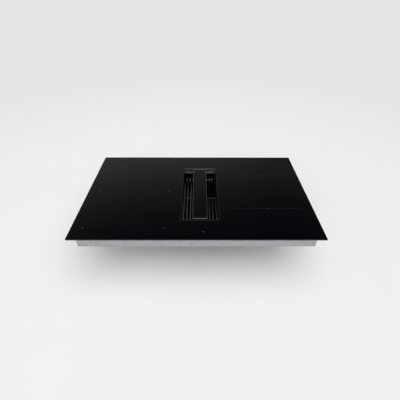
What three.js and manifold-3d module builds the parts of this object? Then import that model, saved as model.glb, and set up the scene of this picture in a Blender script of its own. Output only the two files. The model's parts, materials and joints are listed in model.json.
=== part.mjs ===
// Downdraft induction cooktop: black glass hob with a blower that draws the steam down
// through a slot on each side of a lift-off centre cover.
// Millimetres. X runs to the right, Y to the back, Z up. The origin lies under the middle
// of the glass, on the plane that the blower case stands on.
import * as THREE from "three";
import { mergeVertices } from "three/addons/utils/BufferGeometryUtils.js";
import Module from "manifold-3d";

const wasm = await Module();
wasm.setup();

// ---------------------------------------------------------------- driving dimensions

const HEIGHT = 212; // glass surface above the base
const SEAT = 0.3; // play between pieces that rest on or slide past each other
const ROUND = 20; // sides of the larger round shapes
const GLASS = { width: 830, depth: 515, thick: 4, corner: 3, bevel: 1 };
const EDGE_SEAL = { inset: 3, width: 10, thick: 2 };

// The well under the centre cover. Depths are measured down from the glass surface.
const VENT = { x: 11, frontBand: 94.5, backBand: 98.5, width: 132, corner: 4, wall: 1.5, flange: 10 };
const VENT_PLAY = 0.5; // between the collar and the edge of the glass
const RIM_SINK = 0.3; // rim of the collar below the glass surface
const WELL = { flangeDepth: 1.5, ledgeDepth: 74, ledgeWidth: 8, ledgeThick: 1.5 };

const COVER = { width: 52, frontGap: 6, backGap: 1, corner: 4, rim: 1.2, skirt: 8 };
const COVER_GLASS = { thick: 4, play: 0.2, shelf: 5, shelfThick: 1.2 };
const COVER_FOOT = { width: 36, length: 5, stemWidth: 20, stemLength: 4 };

const FILTER = { play: 2, top: 15, wall: 1.2, topFlange: 8, bottomFlange: 5 };
const CROSSBAR = { top: 32, length: 6, thick: 1.5 };
const VANE = { first: 9.5, pitch: 12.7, perSide: 5, thick: 1.2, hem: 2.4, hemHeight: 3, lift: 1 };
const VANE_COMB = { top: 40, thick: 1.2, overhang: 1.8 };
const MESH = { thick: 1.5, columns: 4, rows: 5, web: 6 };
const CATCH = { plate: 1.5, width: 64, depth: 22, corner: 4, wall: 2, endLand: 12, window: 22, bridge: 9 };

const PLENUM = { wall: 2.5, play: 1.5, flange: 8, flangeThick: 2.5, slopeStart: 88, bottom: 114 };
const PLENUM_SLOPE = 1.03; // drop of the sloping front wall for each millimetre backwards
const COLLAR_SEAL_THICK = 2;

// Induction tray under the glass.
const TRAY = { inset: 20, wall: 1, floor: 52, corner: 6, lip: 8, plenumPlay: 1 };
const LOUVRE = { count: 5, length: 5, height: 26, pitch: 18, depth: 28 };
const ZONE = { leftEdge: 21, rightEdge: 10, ventGap: 36.5, pitch: 207, y: 2 };
const MAT = { depth: 200, corner: 20, thick: 1.5 };
const COIL = { insetX: 7, insetY: 5, band: 6.5, pitch: 10.5, turns: 5, steps: 10, thick: 3 };
const CARRIER = { thick: 3, corner: 16, ribs: 3, ribHeight: 4, ribWidth: 12, ribLength: 62 };
const CARRIER_POST = { radius: 4, inset: 15 };
const SENSOR = { radius: 5, play: 0.8, flange: 9, flangeThick: 1.2, tail: 6, tailRadius: 3.5 };

const FAN = { size: 80, height: 15, bore: 37, hub: 15, blades: 5, tip: 1.5, gap: 8, pitch: 35 };
const FAN_STRUT = { count: 3, width: 4, thick: 2, turn: 30 };
const FAN_GRILLE = { slots: 5, slotWidth: 7, pitch: 12 };
const BOARD = { wallGap: 37.5, length: 320, thick: 1.6, stand: 5, postRadius: 3.5, edge: 10 };
const SINK = { width: 110, length: 70, height: 24, base: 4, fins: 9, fin: 2 };
const CHOKE = { radius: 16, height: 18 };
const RELAY = { width: 28, depth: 20, height: 16 };
const CONTROL = { x: 21, width: 180, depth: 40, frontGap: 3, board: 1.6, pads: 5, padRadius: 5 };
const CONTROL_FRAME = { thick: 3, leg: 6, rim: 5 };

// Blower under the rear half.
const CASE = { width: 380, depth: 292, back: 18, wall: 1.2, corner: 6, flange: 10 };
const SCROLL = { fromBack: 145, lidGap: 2, lift: 16, wall: 2, lid: 2, tongue: 93, growth: 64 };
const SCROLL_ANGLE = { tongue: 50, wrap: 9, end: 360, steps: 24 };
const OUTLET = { width: 150, height: 70, wall: 2.5, flange: 10, flangeThick: 2, reach: 15 };
const INLET = { radius: 60, wall: 2, flare: 0.6, rise: 5, dip: 6, play: 2, rim: 6, rimThick: 1.2 };
const IMPELLER = { radius: 85, blades: 13, inner: 52, lean: 46, blade: 1.6, gap: 8, foot: 6 };
const HUB = { radius: 48, taper: 5, wall: 2, boss: 10, ring: 22, ringThick: 2 };
const MOTOR = { radius: 40, foot: 50, footThick: 4, height: 40, shaft: 4, shaftRise: 9 };
const MOTOR_CAP = { radius: 8, thick: 4 };
const MOTOR_CAN = { neck: 2, neckRise: 4, shoulder: 6, chamfer: 3 };
const BUFFER = { radius: 8, waist: 6, spread: 76 };

const TERMINAL = { side: 140, width: 90, depth: 66, height: 28, lid: 3, back: 28, corner: 5 };
const GLAND = { bore: 5, sleeve: 8.5, nut: 11.5, length: 18 };
const CLAMP = { y: 150, width: 22, thick: 1.2, reach: 7, top: 16, elbow: 27, bottom: 46, slant: 1.4 };

// ---------------------------------------------------------------- worked-out places

const level = (depthDown) => HEIGHT - depthDown;
const GLASS_UNDER = GLASS.thick;

const ventLength = GLASS.depth - VENT.frontBand - VENT.backBand;
const ventY = (VENT.frontBand - VENT.backBand) / 2;
const ventOuterWidth = VENT.width + 2 * VENT.wall;
const ventOuterLength = ventLength + 2 * VENT.wall;
const cutWidth = ventOuterWidth + 2 * VENT_PLAY;
const cutLength = ventOuterLength + 2 * VENT_PLAY;

const coverLength = ventLength - COVER.frontGap - COVER.backGap;
const coverY = ventY + (COVER.frontGap - COVER.backGap) / 2;
const coverShelf = COVER_GLASS.play + COVER_GLASS.thick;

const catchTop = WELL.ledgeDepth - CATCH.plate;
const filterBottom = catchTop - SEAT;
const filterWidth = VENT.width - 2 * FILTER.play;
const filterLength = ventLength - 2 * FILTER.play;
const meshBottom = filterBottom - FILTER.wall;
const meshTop = meshBottom - MESH.thick;
const vaneBottom = meshTop - SEAT;
const vaneTop = CROSSBAR.top + CROSSBAR.thick + SEAT;

const collarFlange = GLASS_UNDER + WELL.flangeDepth;
const plenumTop = collarFlange + COLLAR_SEAL_THICK;
const plenumInnerWidth = ventOuterWidth + 2 * PLENUM.play;
const plenumInnerLength = ventOuterLength + 2 * PLENUM.play;
const plenumWidth = plenumInnerWidth + 2 * PLENUM.wall;
const plenumLength = plenumInnerLength + 2 * PLENUM.wall;

const trayWidth = GLASS.width - 2 * TRAY.inset;
const trayDepth = GLASS.depth - 2 * TRAY.inset;
const trayFloor = TRAY.floor - TRAY.wall; // upper face of the tray's floor

// The mats fill the room between the plenum and the mouth of the tray on the narrower side.
const zoneEnd = trayWidth / 2 - TRAY.lip;
const plenumReach = plenumWidth / 2 + PLENUM.flange;
const matWidth = zoneEnd - ZONE.rightEdge - (VENT.x + plenumReach + ZONE.ventGap);
const fanReach = plenumReach + FAN.gap + FAN.size / 2;
const boardNear = VENT.x + fanReach + FAN.size / 2 + FAN.gap;
const boardWidth = trayWidth / 2 - TRAY.wall - BOARD.wallGap - boardNear;

const coilTop = GLASS_UNDER + MAT.thick + SEAT;
const carrierTop = coilTop + COIL.thick + SEAT;
const carrierUnder = carrierTop + CARRIER.thick;

const boardTop = trayFloor - BOARD.stand - BOARD.thick;
const fanTop = trayFloor - FAN.height;

const caseY = GLASS.depth / 2 - CASE.back - CASE.depth / 2;
const caseBack = caseY + CASE.depth / 2;
const caseFloor = HEIGHT - CASE.wall; // upper face of the case's floor
const scrollX = VENT.x;
const scrollY = caseBack - SCROLL.fromBack;
const scrollUnder = HEIGHT - SCROLL.lift;
const scrollFloor = scrollUnder - SCROLL.wall; // upper face of the scroll's floor
const scrollReach = SCROLL.tongue + SCROLL.growth;
const lidTop = PLENUM.bottom + SCROLL.lidGap;
const scrollTop = lidTop + SCROLL.lid; // underside of the lid
const outletInnerWidth = OUTLET.width - 2 * OUTLET.wall;
const outletInnerHeight = OUTLET.height - 2 * OUTLET.wall;
const outletX = scrollX + scrollReach - outletInnerWidth / 2;
const outletDepth = (scrollTop + scrollFloor) / 2;

const backPlate = scrollFloor - IMPELLER.foot; // underside of the impeller's back plate
const motorTop = scrollFloor - MOTOR.footThick - MOTOR.height;
const hubTop = motorTop - IMPELLER.foot;

// ---------------------------------------------------------------- shapes and solids

function toSolid(geometry) {
  const bare = geometry.clone();
  bare.deleteAttribute("normal");
  bare.deleteAttribute("uv");
  const merged = mergeVertices(bare, 1e-4);
  return new wasm.Manifold(
    new wasm.Mesh({
      numProp: 3,
      vertProperties: new Float32Array(merged.attributes.position.array),
      triVerts: new Uint32Array(merged.index.array),
    }),
  );
}

const unite = (solids) => solids.reduce((sum, next) => sum.add(next));
const cut = (solid, tools) => tools.reduce((rest, tool) => rest.subtract(tool), solid);

function roundedRect(width, depth, radius, x = 0, y = 0) {
  const shape = new THREE.Shape();
  const [left, right, front, back] = [x - width / 2, x + width / 2, y - depth / 2, y + depth / 2];
  shape.moveTo(left + radius, front);
  shape.absarc(right - radius, front + radius, radius, -Math.PI / 2, 0);
  shape.absarc(right - radius, back - radius, radius, 0, Math.PI / 2);
  shape.absarc(left + radius, back - radius, radius, Math.PI / 2, Math.PI);
  shape.absarc(left + radius, front + radius, radius, Math.PI, 1.5 * Math.PI);
  shape.closePath();
  return shape;
}

function outline(points) {
  return new THREE.Shape(points.map(([u, v]) => new THREE.Vector2(u, v)));
}

// Prism standing on the shape between two depths, the upper one given first.
function prism(shape, top, bottom, curveSegments = 2) {
  const options = { depth: bottom - top, bevelEnabled: false, curveSegments };
  return toSolid(new THREE.ExtrudeGeometry(shape, options).translate(0, 0, level(bottom)));
}

// Shape drawn as (Y, Z), run along X.
function prismAlongX(shape, from, to, curveSegments = 2) {
  const options = { depth: to - from, bevelEnabled: false, curveSegments };
  const axes = new THREE.Matrix4().makeBasis(
    new THREE.Vector3(0, 1, 0),
    new THREE.Vector3(0, 0, 1),
    new THREE.Vector3(1, 0, 0),
  );
  return toSolid(new THREE.ExtrudeGeometry(shape, options).applyMatrix4(axes).translate(from, 0, 0));
}

// Shape drawn as (X, Z), run along Y.
function prismAlongY(shape, from, to, curveSegments = 2) {
  const options = { depth: to - from, bevelEnabled: false, curveSegments };
  const axes = new THREE.Matrix4().makeBasis(
    new THREE.Vector3(1, 0, 0),
    new THREE.Vector3(0, 0, 1),
    new THREE.Vector3(0, -1, 0),
  );
  return toSolid(new THREE.ExtrudeGeometry(shape, options).applyMatrix4(axes).translate(0, to, 0));
}

// Box by its middle in plan, its size in plan and its two depths.
function block(x, y, width, depth, top, bottom) {
  const geometry = new THREE.BoxGeometry(width, depth, bottom - top);
  return toSolid(geometry.translate(x, y, level((top + bottom) / 2)));
}

function cylinder(x, y, radius, top, bottom, segments = ROUND) {
  const geometry = new THREE.CylinderGeometry(radius, radius, bottom - top, segments);
  geometry.rotateX(Math.PI / 2);
  return toSolid(geometry.translate(x, y, level((top + bottom) / 2)));
}

// Body of revolution about a vertical axis from (radius, depth) pairs.
function turned(points, x, y, segments = ROUND) {
  const profile = points.map(([radius, depthDown]) => new THREE.Vector2(radius, level(depthDown)));
  if (THREE.ShapeUtils.isClockWise(profile)) profile.reverse();
  const geometry = new THREE.LatheGeometry(profile, segments);
  geometry.rotateX(Math.PI / 2);
  return toSolid(geometry.translate(x, y, 0));
}

const metal = (color, roughness) => ({ color, roughness, metalness: 1 });
const plastic = (color, roughness) => ({ color, roughness, metalness: 0 });
const LOOK = {
  glass: plastic(0x0b0b0d, 0.08),
  seal: plastic(0x1c1c1c, 0.9),
  collar: metal(0x3a3b3d, 0.4),
  trim: metal(0xb9babb, 0.3),
  steel: metal(0x8c8f92, 0.35),
  graphite: metal(0x2b2c2e, 0.4),
  zinc: metal(0xb5b8ba, 0.45),
  black: plastic(0x17181a, 0.5),
  grey: plastic(0x55585b, 0.6),
  white: plastic(0xd9d9d4, 0.6),
  mica: plastic(0x9d978a, 0.8),
  copper: metal(0xa8623a, 0.4),
  aluminium: metal(0xc4c6c8, 0.4),
  circuit: plastic(0x1f5a37, 0.5),
  rubber: plastic(0x202020, 0.8),
};

function piece(name, solid, look) {
  const { vertProperties, triVerts } = solid.getMesh();
  const geometry = new THREE.BufferGeometry();
  geometry.setAttribute("position", new THREE.BufferAttribute(vertProperties, 3));
  geometry.setIndex(new THREE.BufferAttribute(triVerts, 1));
  const mesh = new THREE.Mesh(geometry, new THREE.MeshStandardMaterial(look));
  mesh.name = name;
  return mesh;
}

// ---------------------------------------------------------------- glass and its seal

function glassTop() {
  const shape = roundedRect(GLASS.width, GLASS.depth, GLASS.corner);
  shape.holes.push(roundedRect(cutWidth, cutLength, VENT.corner, VENT.x, ventY));
  const geometry = new THREE.ExtrudeGeometry(shape, {
    depth: GLASS.thick - 2 * GLASS.bevel,
    bevelThickness: GLASS.bevel,
    bevelSize: GLASS.bevel,
    bevelOffset: -GLASS.bevel,
    bevelSegments: 1,
    curveSegments: 2,
  });
  return toSolid(geometry.translate(0, 0, level(GLASS.thick - GLASS.bevel)));
}

function edgeSeal() {
  const width = GLASS.width - 2 * EDGE_SEAL.inset;
  const depth = GLASS.depth - 2 * EDGE_SEAL.inset;
  const shape = roundedRect(width, depth, GLASS.corner);
  const inner = 2 * EDGE_SEAL.width;
  shape.holes.push(roundedRect(width - inner, depth - inner, GLASS.corner));
  return prism(shape, GLASS_UNDER, GLASS_UNDER + EDGE_SEAL.thick);
}

// ---------------------------------------------------------------- collar, cover and filter

function ventOutline(grow) {
  const width = VENT.width + 2 * grow;
  const length = ventLength + 2 * grow;
  return roundedRect(width, length, VENT.corner + Math.max(grow, 0), VENT.x, ventY);
}

function ventCollar() {
  const bottom = WELL.ledgeDepth + WELL.ledgeThick;
  const opening = prism(ventOutline(0), -1, WELL.ledgeDepth);
  const walls = cut(prism(ventOutline(VENT.wall), RIM_SINK, bottom), [opening]);
  const flangeShape = ventOutline(VENT.wall + VENT.flange);
  flangeShape.holes.push(ventOutline(VENT.wall / 2));
  const flange = prism(flangeShape, GLASS_UNDER, collarFlange);
  const drop = ventLength - 2 * WELL.ledgeWidth;
  const passage = block(VENT.x, ventY, VENT.width, drop, WELL.ledgeDepth - 1, bottom + 1);
  return walls.add(flange).subtract(passage);
}

function collarSeal() {
  const shape = ventOutline(VENT.wall + PLENUM.play + PLENUM.wall + PLENUM.flange);
  shape.holes.push(ventOutline(VENT.wall + PLENUM.play));
  return prism(shape, collarFlange, plenumTop);
}

const coverOutline = (inset) =>
  roundedRect(
    COVER.width - 2 * inset,
    coverLength - 2 * inset,
    Math.max(COVER.corner - inset, 0.8),
    VENT.x,
    coverY,
  );

function coverGlass() {
  return prism(coverOutline(COVER.rim + COVER_GLASS.play), COVER_GLASS.play, coverShelf);
}

// Folded metal edge with a shelf under the glass, a foot at each end and a middle foot.
function coverFrame() {
  const shell = prism(coverOutline(0), 0, COVER.skirt);
  const pocket = prism(coverOutline(COVER.rim), -1, coverShelf);
  const openUnder = prism(coverOutline(COVER_GLASS.shelf), coverShelf - 1, COVER.skirt + 1);
  const groove = coverOutline(COVER.rim);
  groove.holes.push(coverOutline(COVER_GLASS.shelf + 1));
  const fold = prism(groove, coverShelf + COVER_GLASS.shelfThick, COVER.skirt + 1);
  const rim = cut(shell, [pocket, openUnder, fold]);
  const endInset = coverLength / 2 - COVER.rim - COVER_FOOT.length / 2;
  const foot = (y, width, length, top, bottom) => block(VENT.x, y, width, length, top, bottom);
  const endFeet = [-1, 1].map((side) =>
    foot(coverY + side * endInset, COVER_FOOT.width, COVER_FOOT.length, coverShelf, FILTER.top - SEAT),
  );
  const span = COVER.width - 2 * COVER.rim;
  const bridge = foot(ventY, span + COVER.rim, COVER_FOOT.stemLength, coverShelf, COVER.skirt);
  const stem = foot(ventY, COVER_FOOT.stemWidth, COVER_FOOT.stemLength, coverShelf, CROSSBAR.top - SEAT);
  return unite([rim, ...endFeet, bridge, stem]);
}

const filterOutline = (inset) =>
  roundedRect(
    filterWidth - 2 * inset,
    filterLength - 2 * inset,
    Math.max(VENT.corner - FILTER.play - inset, 0.8),
    VENT.x,
    ventY,
  );

// Folded sheet box, open above and below, with a shelf at each end for the cover's feet.
function filterFrame() {
  const tube = prism(filterOutline(0), FILTER.top, meshBottom);
  const inside = prism(filterOutline(FILTER.wall), FILTER.top + FILTER.wall, meshBottom + 1);
  const mouthLength = filterLength - 2 * FILTER.topFlange;
  const mouthWidth = filterWidth - 2 * FILTER.wall;
  const mouth = block(VENT.x, ventY, mouthWidth, mouthLength, FILTER.top - 1, FILTER.top + 2 * FILTER.wall);
  return cut(tube, [inside, mouth]);
}

// Flat ring welded under the box, on which the mesh lies.
function filterBase() {
  const shape = filterOutline(0);
  shape.holes.push(filterOutline(FILTER.bottomFlange));
  return prism(shape, meshBottom, filterBottom);
}

// Bar across the middle of the box, under the cover's middle foot.
function filterCrossbar() {
  const width = filterWidth - 2 * (FILTER.wall + SEAT);
  return block(VENT.x, ventY, width, CROSSBAR.length, CROSSBAR.top, CROSSBAR.top + CROSSBAR.thick);
}

// Row of upright baffles with a hemmed upper edge, held off the base by a comb plate at each end.
function vanes(side) {
  const length = filterLength - 2 * (FILTER.wall + SEAT);
  const offsets = Array.from({ length: VANE.perSide }, (_, i) => VANE.first + i * VANE.pitch);
  const plates = offsets.map((offset) => {
    const x = VENT.x + side * offset;
    const [half, hem] = [VANE.thick / 2, VANE.hem / 2];
    const depths = [vaneTop, vaneTop + VANE.hemHeight, vaneBottom - VANE.lift];
    const [top, neck, foot] = depths.map(level);
    const section = [
      [x - half, foot],
      [x + half, foot],
      [x + half, neck - hem / 2],
      [x + hem, neck],
      [x + hem, top],
      [x - hem, top],
      [x - hem, neck],
      [x - half, neck - hem / 2],
    ];
    const reach = (length - VANE_COMB.thick) / 2;
    return prismAlongY(outline(section), ventY - reach, ventY + reach);
  });
  const combWidth = (VANE.perSide - 1) * VANE.pitch + 2 * VANE_COMB.overhang;
  const combX = VENT.x + side * (VANE.first + ((VANE.perSide - 1) * VANE.pitch) / 2);
  const combs = [-1, 1].map((end) => {
    const y = ventY + end * (length / 2 - VANE_COMB.thick / 2);
    return block(combX, y, combWidth, VANE_COMB.thick, VANE_COMB.top, vaneBottom);
  });
  return unite([...plates, ...combs]);
}

function filterMesh() {
  const width = filterWidth - 2 * (FILTER.wall + SEAT);
  const length = filterLength - 2 * (FILTER.wall + SEAT);
  const clearWidth = filterWidth - 2 * FILTER.bottomFlange;
  const clearLength = filterLength - 2 * FILTER.bottomFlange;
  const plate = roundedRect(width, length, 0.8, VENT.x, ventY);
  const [stepX, stepY] = [clearWidth / MESH.columns, clearLength / MESH.rows];
  for (let column = 0; column < MESH.columns; column += 1) {
    for (let row = 0; row < MESH.rows; row += 1) {
      const x = VENT.x + (column - (MESH.columns - 1) / 2) * stepX;
      const y = ventY + (row - (MESH.rows - 1) / 2) * stepY;
      const [halfX, halfY] = [(stepX - MESH.web) / 2, (stepY - MESH.web) / 2];
      plate.holes.push(
        outline([
          [x - halfX, y],
          [x, y - halfY],
          [x + halfX, y],
          [x, y + halfY],
        ]),
      );
    }
  }
  return prism(plate, meshTop, meshBottom);
}

// Drip trough hung from a flat rim; the air passes through the windows beside it.
function catchTray() {
  const width = VENT.width - 2 * FILTER.play;
  const length = ventLength - 2 * FILTER.play;
  const troughLength = ventLength - 2 * CATCH.endLand;
  const rim = prism(roundedRect(width, length, VENT.corner, VENT.x, ventY), catchTop, WELL.ledgeDepth);
  const outer = roundedRect(CATCH.width, troughLength, CATCH.corner, VENT.x, ventY);
  const inner = roundedRect(
    CATCH.width - 2 * CATCH.wall,
    troughLength - 2 * CATCH.wall,
    CATCH.corner - CATCH.wall,
    VENT.x,
    ventY,
  );
  const bottom = catchTop + CATCH.depth;
  const trough = prism(outer, catchTop, bottom);
  const hollow = prism(inner, catchTop - 1, bottom - CATCH.wall);
  const windowX = CATCH.width / 2 + CATCH.wall + CATCH.window / 2;
  const windows = [-1, 1].flatMap((side) =>
    [-1, 1].map((end) => {
      const windowLength = troughLength / 2 - CATCH.bridge;
      const y = ventY + (end * (windowLength + CATCH.bridge)) / 2;
      const x = VENT.x + side * windowX;
      return block(x, y, CATCH.window, windowLength, catchTop - 1, WELL.ledgeDepth + 1);
    }),
  );
  return cut(rim.add(trough), [hollow, ...windows]);
}

// ---------------------------------------------------------------- plenum

function plenumProfile(inset) {
  const front = ventY - plenumLength / 2 + inset;
  const back = ventY + plenumLength / 2 - inset;
  const slopeRun = (PLENUM.bottom - PLENUM.slopeStart) / PLENUM_SLOPE;
  const bottom = PLENUM.bottom - inset;
  const kink = PLENUM.slopeStart - inset / 2;
  return outline([
    [front, level(kink)],
    [front + slopeRun - inset / 2, level(bottom)],
    [back, level(bottom)],
    [back, level(inset ? 0 : plenumTop)],
    [front, level(inset ? 0 : plenumTop)],
  ]);
}

function plenum() {
  const outer = prismAlongX(plenumProfile(0), VENT.x - plenumWidth / 2, VENT.x + plenumWidth / 2);
  const inner = prismAlongX(
    plenumProfile(PLENUM.wall),
    VENT.x - plenumInnerWidth / 2,
    VENT.x + plenumInnerWidth / 2,
  );
  const flangeShape = roundedRect(
    plenumWidth + 2 * PLENUM.flange,
    plenumLength + 2 * PLENUM.flange,
    VENT.corner + PLENUM.flange,
    VENT.x,
    ventY,
  );
  const flange = prism(flangeShape, plenumTop, plenumTop + PLENUM.flangeThick);
  const inletRadius = INLET.radius + INLET.wall + INLET.play;
  const throat = cylinder(scrollX, scrollY, inletRadius, PLENUM.slopeStart, HEIGHT);
  return cut(outer.add(flange), [inner, throat]);
}

// ---------------------------------------------------------------- induction tray

const sideX = (side) => {
  const edge = side < 0 ? ZONE.leftEdge : ZONE.rightEdge;
  return side * (zoneEnd - edge - matWidth / 2);
};

const fanPlace = (side) => ({
  x: VENT.x + side * fanReach,
  y: ZONE.y - ZONE.pitch / 2,
});

const boardX = (side) => fanPlace(side).x + side * ((FAN.size + boardWidth) / 2 + FAN.gap);

// Walls of the tray, with a lip all round that is bonded to the glass.
function coilTray() {
  const shell = prism(roundedRect(trayWidth, trayDepth, TRAY.corner), GLASS_UNDER, trayFloor);
  const inner = roundedRect(
    trayWidth - 2 * TRAY.wall,
    trayDepth - 2 * TRAY.wall,
    TRAY.corner - TRAY.wall,
  );
  const mouth = roundedRect(trayWidth - 2 * TRAY.lip, trayDepth - 2 * TRAY.lip, TRAY.corner);
  const cavity = prism(inner, GLASS_UNDER + TRAY.wall, trayFloor + 1);
  const opening = prism(mouth, GLASS_UNDER - 1, GLASS_UNDER + 2 * TRAY.wall);
  const louvres = [-1, 1].flatMap((end) =>
    Array.from({ length: LOUVRE.count }, (_, i) => {
      const y = ZONE.y + end * (ZONE.pitch / 2) + (i - (LOUVRE.count - 1) / 2) * LOUVRE.pitch;
      const [top, bottom] = [LOUVRE.depth - LOUVRE.height / 2, LOUVRE.depth + LOUVRE.height / 2];
      return block(0, y, trayWidth + 2, LOUVRE.length, top, bottom);
    }),
  );
  return cut(shell, [cavity, opening, ...louvres]);
}

// Floor sheet of the tray, open for the plenum and slotted over the cooling fans.
function trayFloorSheet() {
  const sheet = prism(roundedRect(trayWidth, trayDepth, TRAY.corner), trayFloor, TRAY.floor);
  const passage = block(
    VENT.x,
    ventY,
    plenumWidth + 2 * TRAY.plenumPlay,
    plenumLength + 2 * TRAY.plenumPlay,
    trayFloor - 1,
    TRAY.floor + 1,
  );
  const grilles = [-1, 1].flatMap((side) => {
    const { x, y } = fanPlace(side);
    return Array.from({ length: FAN_GRILLE.slots }, (_, i) => {
      const offset = (i - (FAN_GRILLE.slots - 1) / 2) * FAN_GRILLE.pitch;
      const half = Math.sqrt(Math.max((FAN.bore - FAN.tip) ** 2 - offset ** 2, 1));
      return block(x, y + offset, 2 * half, FAN_GRILLE.slotWidth, trayFloor - 1, TRAY.floor + 1);
    });
  });
  return cut(sheet, [passage, ...grilles]);
}

// ---------------------------------------------------------------- one cooking zone

const sensorHole = (x, y) => cylinder(x, y, SENSOR.radius + SENSOR.play, 0, trayFloor, 12);

const zoneSolids = {
  heat_mat(x, y) {
    const shape = roundedRect(matWidth, MAT.depth, MAT.corner, x, y);
    return cut(prism(shape, GLASS_UNDER, GLASS_UNDER + MAT.thick, 3), [sensorHole(x, y)]);
  },

  // One flat litz band wound inwards, squarish so that neighbouring zones can bridge.
  coil(x, y) {
    const along = (shrink) => {
      const points = [];
      for (let step = 0; step <= COIL.turns * COIL.steps; step += 1) {
        const turn = step / COIL.steps;
        const angle = 2 * Math.PI * turn;
        const square = (value) => Math.sign(value) * Math.sqrt(Math.abs(value));
        const inward = COIL.pitch * turn + shrink;
        points.push([
          x + (matWidth / 2 - COIL.insetX - inward) * square(Math.cos(angle)),
          y + (MAT.depth / 2 - COIL.insetY - inward) * square(Math.sin(angle)),
        ]);
      }
      return points;
    };
    const shape = outline([...along(0), ...along(COIL.band).reverse()]);
    return prism(shape, coilTop, coilTop + COIL.thick);
  },

  // Moulded carrier with ferrite ribs below and four posts down to the tray.
  coil_carrier(x, y) {
    const plate = roundedRect(matWidth, MAT.depth, CARRIER.corner, x, y);
    const ribs = Array.from({ length: 2 * CARRIER.ribs }, (_, i) => {
      const angle = (Math.PI * (i + 0.5)) / CARRIER.ribs;
      const inner = SENSOR.flange + CARRIER.ribWidth;
      const geometry = new THREE.BoxGeometry(CARRIER.ribLength, CARRIER.ribWidth, CARRIER.ribHeight);
      geometry.translate(inner + CARRIER.ribLength / 2, 0, 0).rotateZ(angle);
      return toSolid(geometry.translate(x, y, level(carrierUnder + CARRIER.ribHeight / 2)));
    });
    const posts = [-1, 1].flatMap((right) =>
      [-1, 1].map((back) => {
        const postX = x + right * (matWidth / 2 - CARRIER_POST.inset);
        const postY = y + back * (MAT.depth / 2 - CARRIER_POST.inset);
        return cylinder(postX, postY, CARRIER_POST.radius, carrierUnder - 1, trayFloor, 6);
      }),
    );
    const carrier = unite([prism(plate, carrierTop, carrierUnder, 3), ...ribs, ...posts]);
    return cut(carrier, [sensorHole(x, y)]);
  },

  heat_sensor(x, y) {
    const [under, radius] = [carrierUnder + SEAT, SENSOR.radius];
    const profile = [
      [0, under + SENSOR.tail],
      [SENSOR.tailRadius, under + SENSOR.tail],
      [SENSOR.tailRadius, under + SENSOR.flangeThick],
      [SENSOR.flange, under + SENSOR.flangeThick],
      [SENSOR.flange, under],
      [radius, under],
      [radius, GLASS_UNDER + 1],
      [radius - 1, GLASS_UNDER],
      [0, GLASS_UNDER],
    ];
    return turned(profile, x, y, 8);
  },
};
const ZONE_LOOK = { heat_mat: "mica", coil: "copper", coil_carrier: "grey", heat_sensor: "aluminium" };

// ---------------------------------------------------------------- electronics

function powerBoard(side) {
  const [x, y] = [boardX(side), ZONE.y];
  const boardUnder = boardTop + BOARD.thick;
  const plate = block(x, y, boardWidth, BOARD.length, boardTop, boardUnder);
  const postX = boardWidth / 2 - BOARD.edge;
  const postY = BOARD.length / 2 - BOARD.edge;
  const posts = [-1, 1].flatMap((right) =>
    [-1, 1].map((back) =>
      cylinder(x + right * postX, y + back * postY, BOARD.postRadius, boardUnder - 1, trayFloor, 6),
    ),
  );
  const chokes = [-1, 1].map((right) => {
    const chokeX = x + right * (boardWidth / 2 - BOARD.edge - CHOKE.radius);
    return cylinder(chokeX, y + BOARD.length / 4, CHOKE.radius, boardTop - CHOKE.height, boardTop + 1, 12);
  });
  const relays = [0, 1, 2].map((i) => {
    const relayY = y + BOARD.length / 2 - BOARD.edge - RELAY.depth / 2;
    const relayX = x + (i - 1) * (RELAY.width + BOARD.edge);
    return block(relayX, relayY, RELAY.width, RELAY.depth, boardTop - RELAY.height, boardTop + 1);
  });
  return unite([plate, ...posts, ...chokes, ...relays]);
}

// Extruded comb profile, its channels lying across so that the fan blows along them.
function heatSink(side) {
  const { y } = fanPlace(side);
  const x = boardX(side);
  const base = level(boardTop);
  const pitch = (SINK.length - SINK.fin) / (SINK.fins - 1);
  const points = [
    [y - SINK.length / 2, base],
    [y + SINK.length / 2, base],
  ];
  for (let i = SINK.fins - 1; i >= 0; i -= 1) {
    const left = y - SINK.length / 2 + i * pitch;
    points.push([left + SINK.fin, base + SINK.height], [left, base + SINK.height]);
    if (i > 0) {
      points.push([left, base + SINK.base], [left - pitch + SINK.fin, base + SINK.base]);
    }
  }
  return prismAlongX(outline(points), x - SINK.width / 2, x + SINK.width / 2);
}

function fanFrame(side) {
  const { x, y } = fanPlace(side);
  const body = prism(roundedRect(FAN.size, FAN.size, FAN.tip * 3, x, y), fanTop, trayFloor);
  const bore = cylinder(x, y, FAN.bore, fanTop - 1, trayFloor + 1);
  const hub = cylinder(x, y, FAN.hub, trayFloor - FAN_STRUT.thick, trayFloor, 12);
  const struts = Array.from({ length: FAN_STRUT.count }, (_, i) => {
    const geometry = new THREE.BoxGeometry(FAN.bore + FAN.tip, FAN_STRUT.width, FAN_STRUT.thick);
    const angle = THREE.MathUtils.degToRad(FAN_STRUT.turn + (360 * i) / FAN_STRUT.count);
    geometry.translate((FAN.bore + FAN.tip) / 2, 0, 0).rotateZ(angle);
    return toSolid(geometry.translate(x, y, level(trayFloor - FAN_STRUT.thick / 2)));
  });
  const holes = [-1, 1].flatMap((right) =>
    [-1, 1].map((back) => {
      const reach = FAN.size / 2 - FAN.tip * 3;
      return cylinder(x + right * reach, y + back * reach, FAN.tip, fanTop - 1, trayFloor + 1, 6);
    }),
  );
  return cut(body.subtract(bore).add(unite([hub, ...struts])), holes);
}

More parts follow.
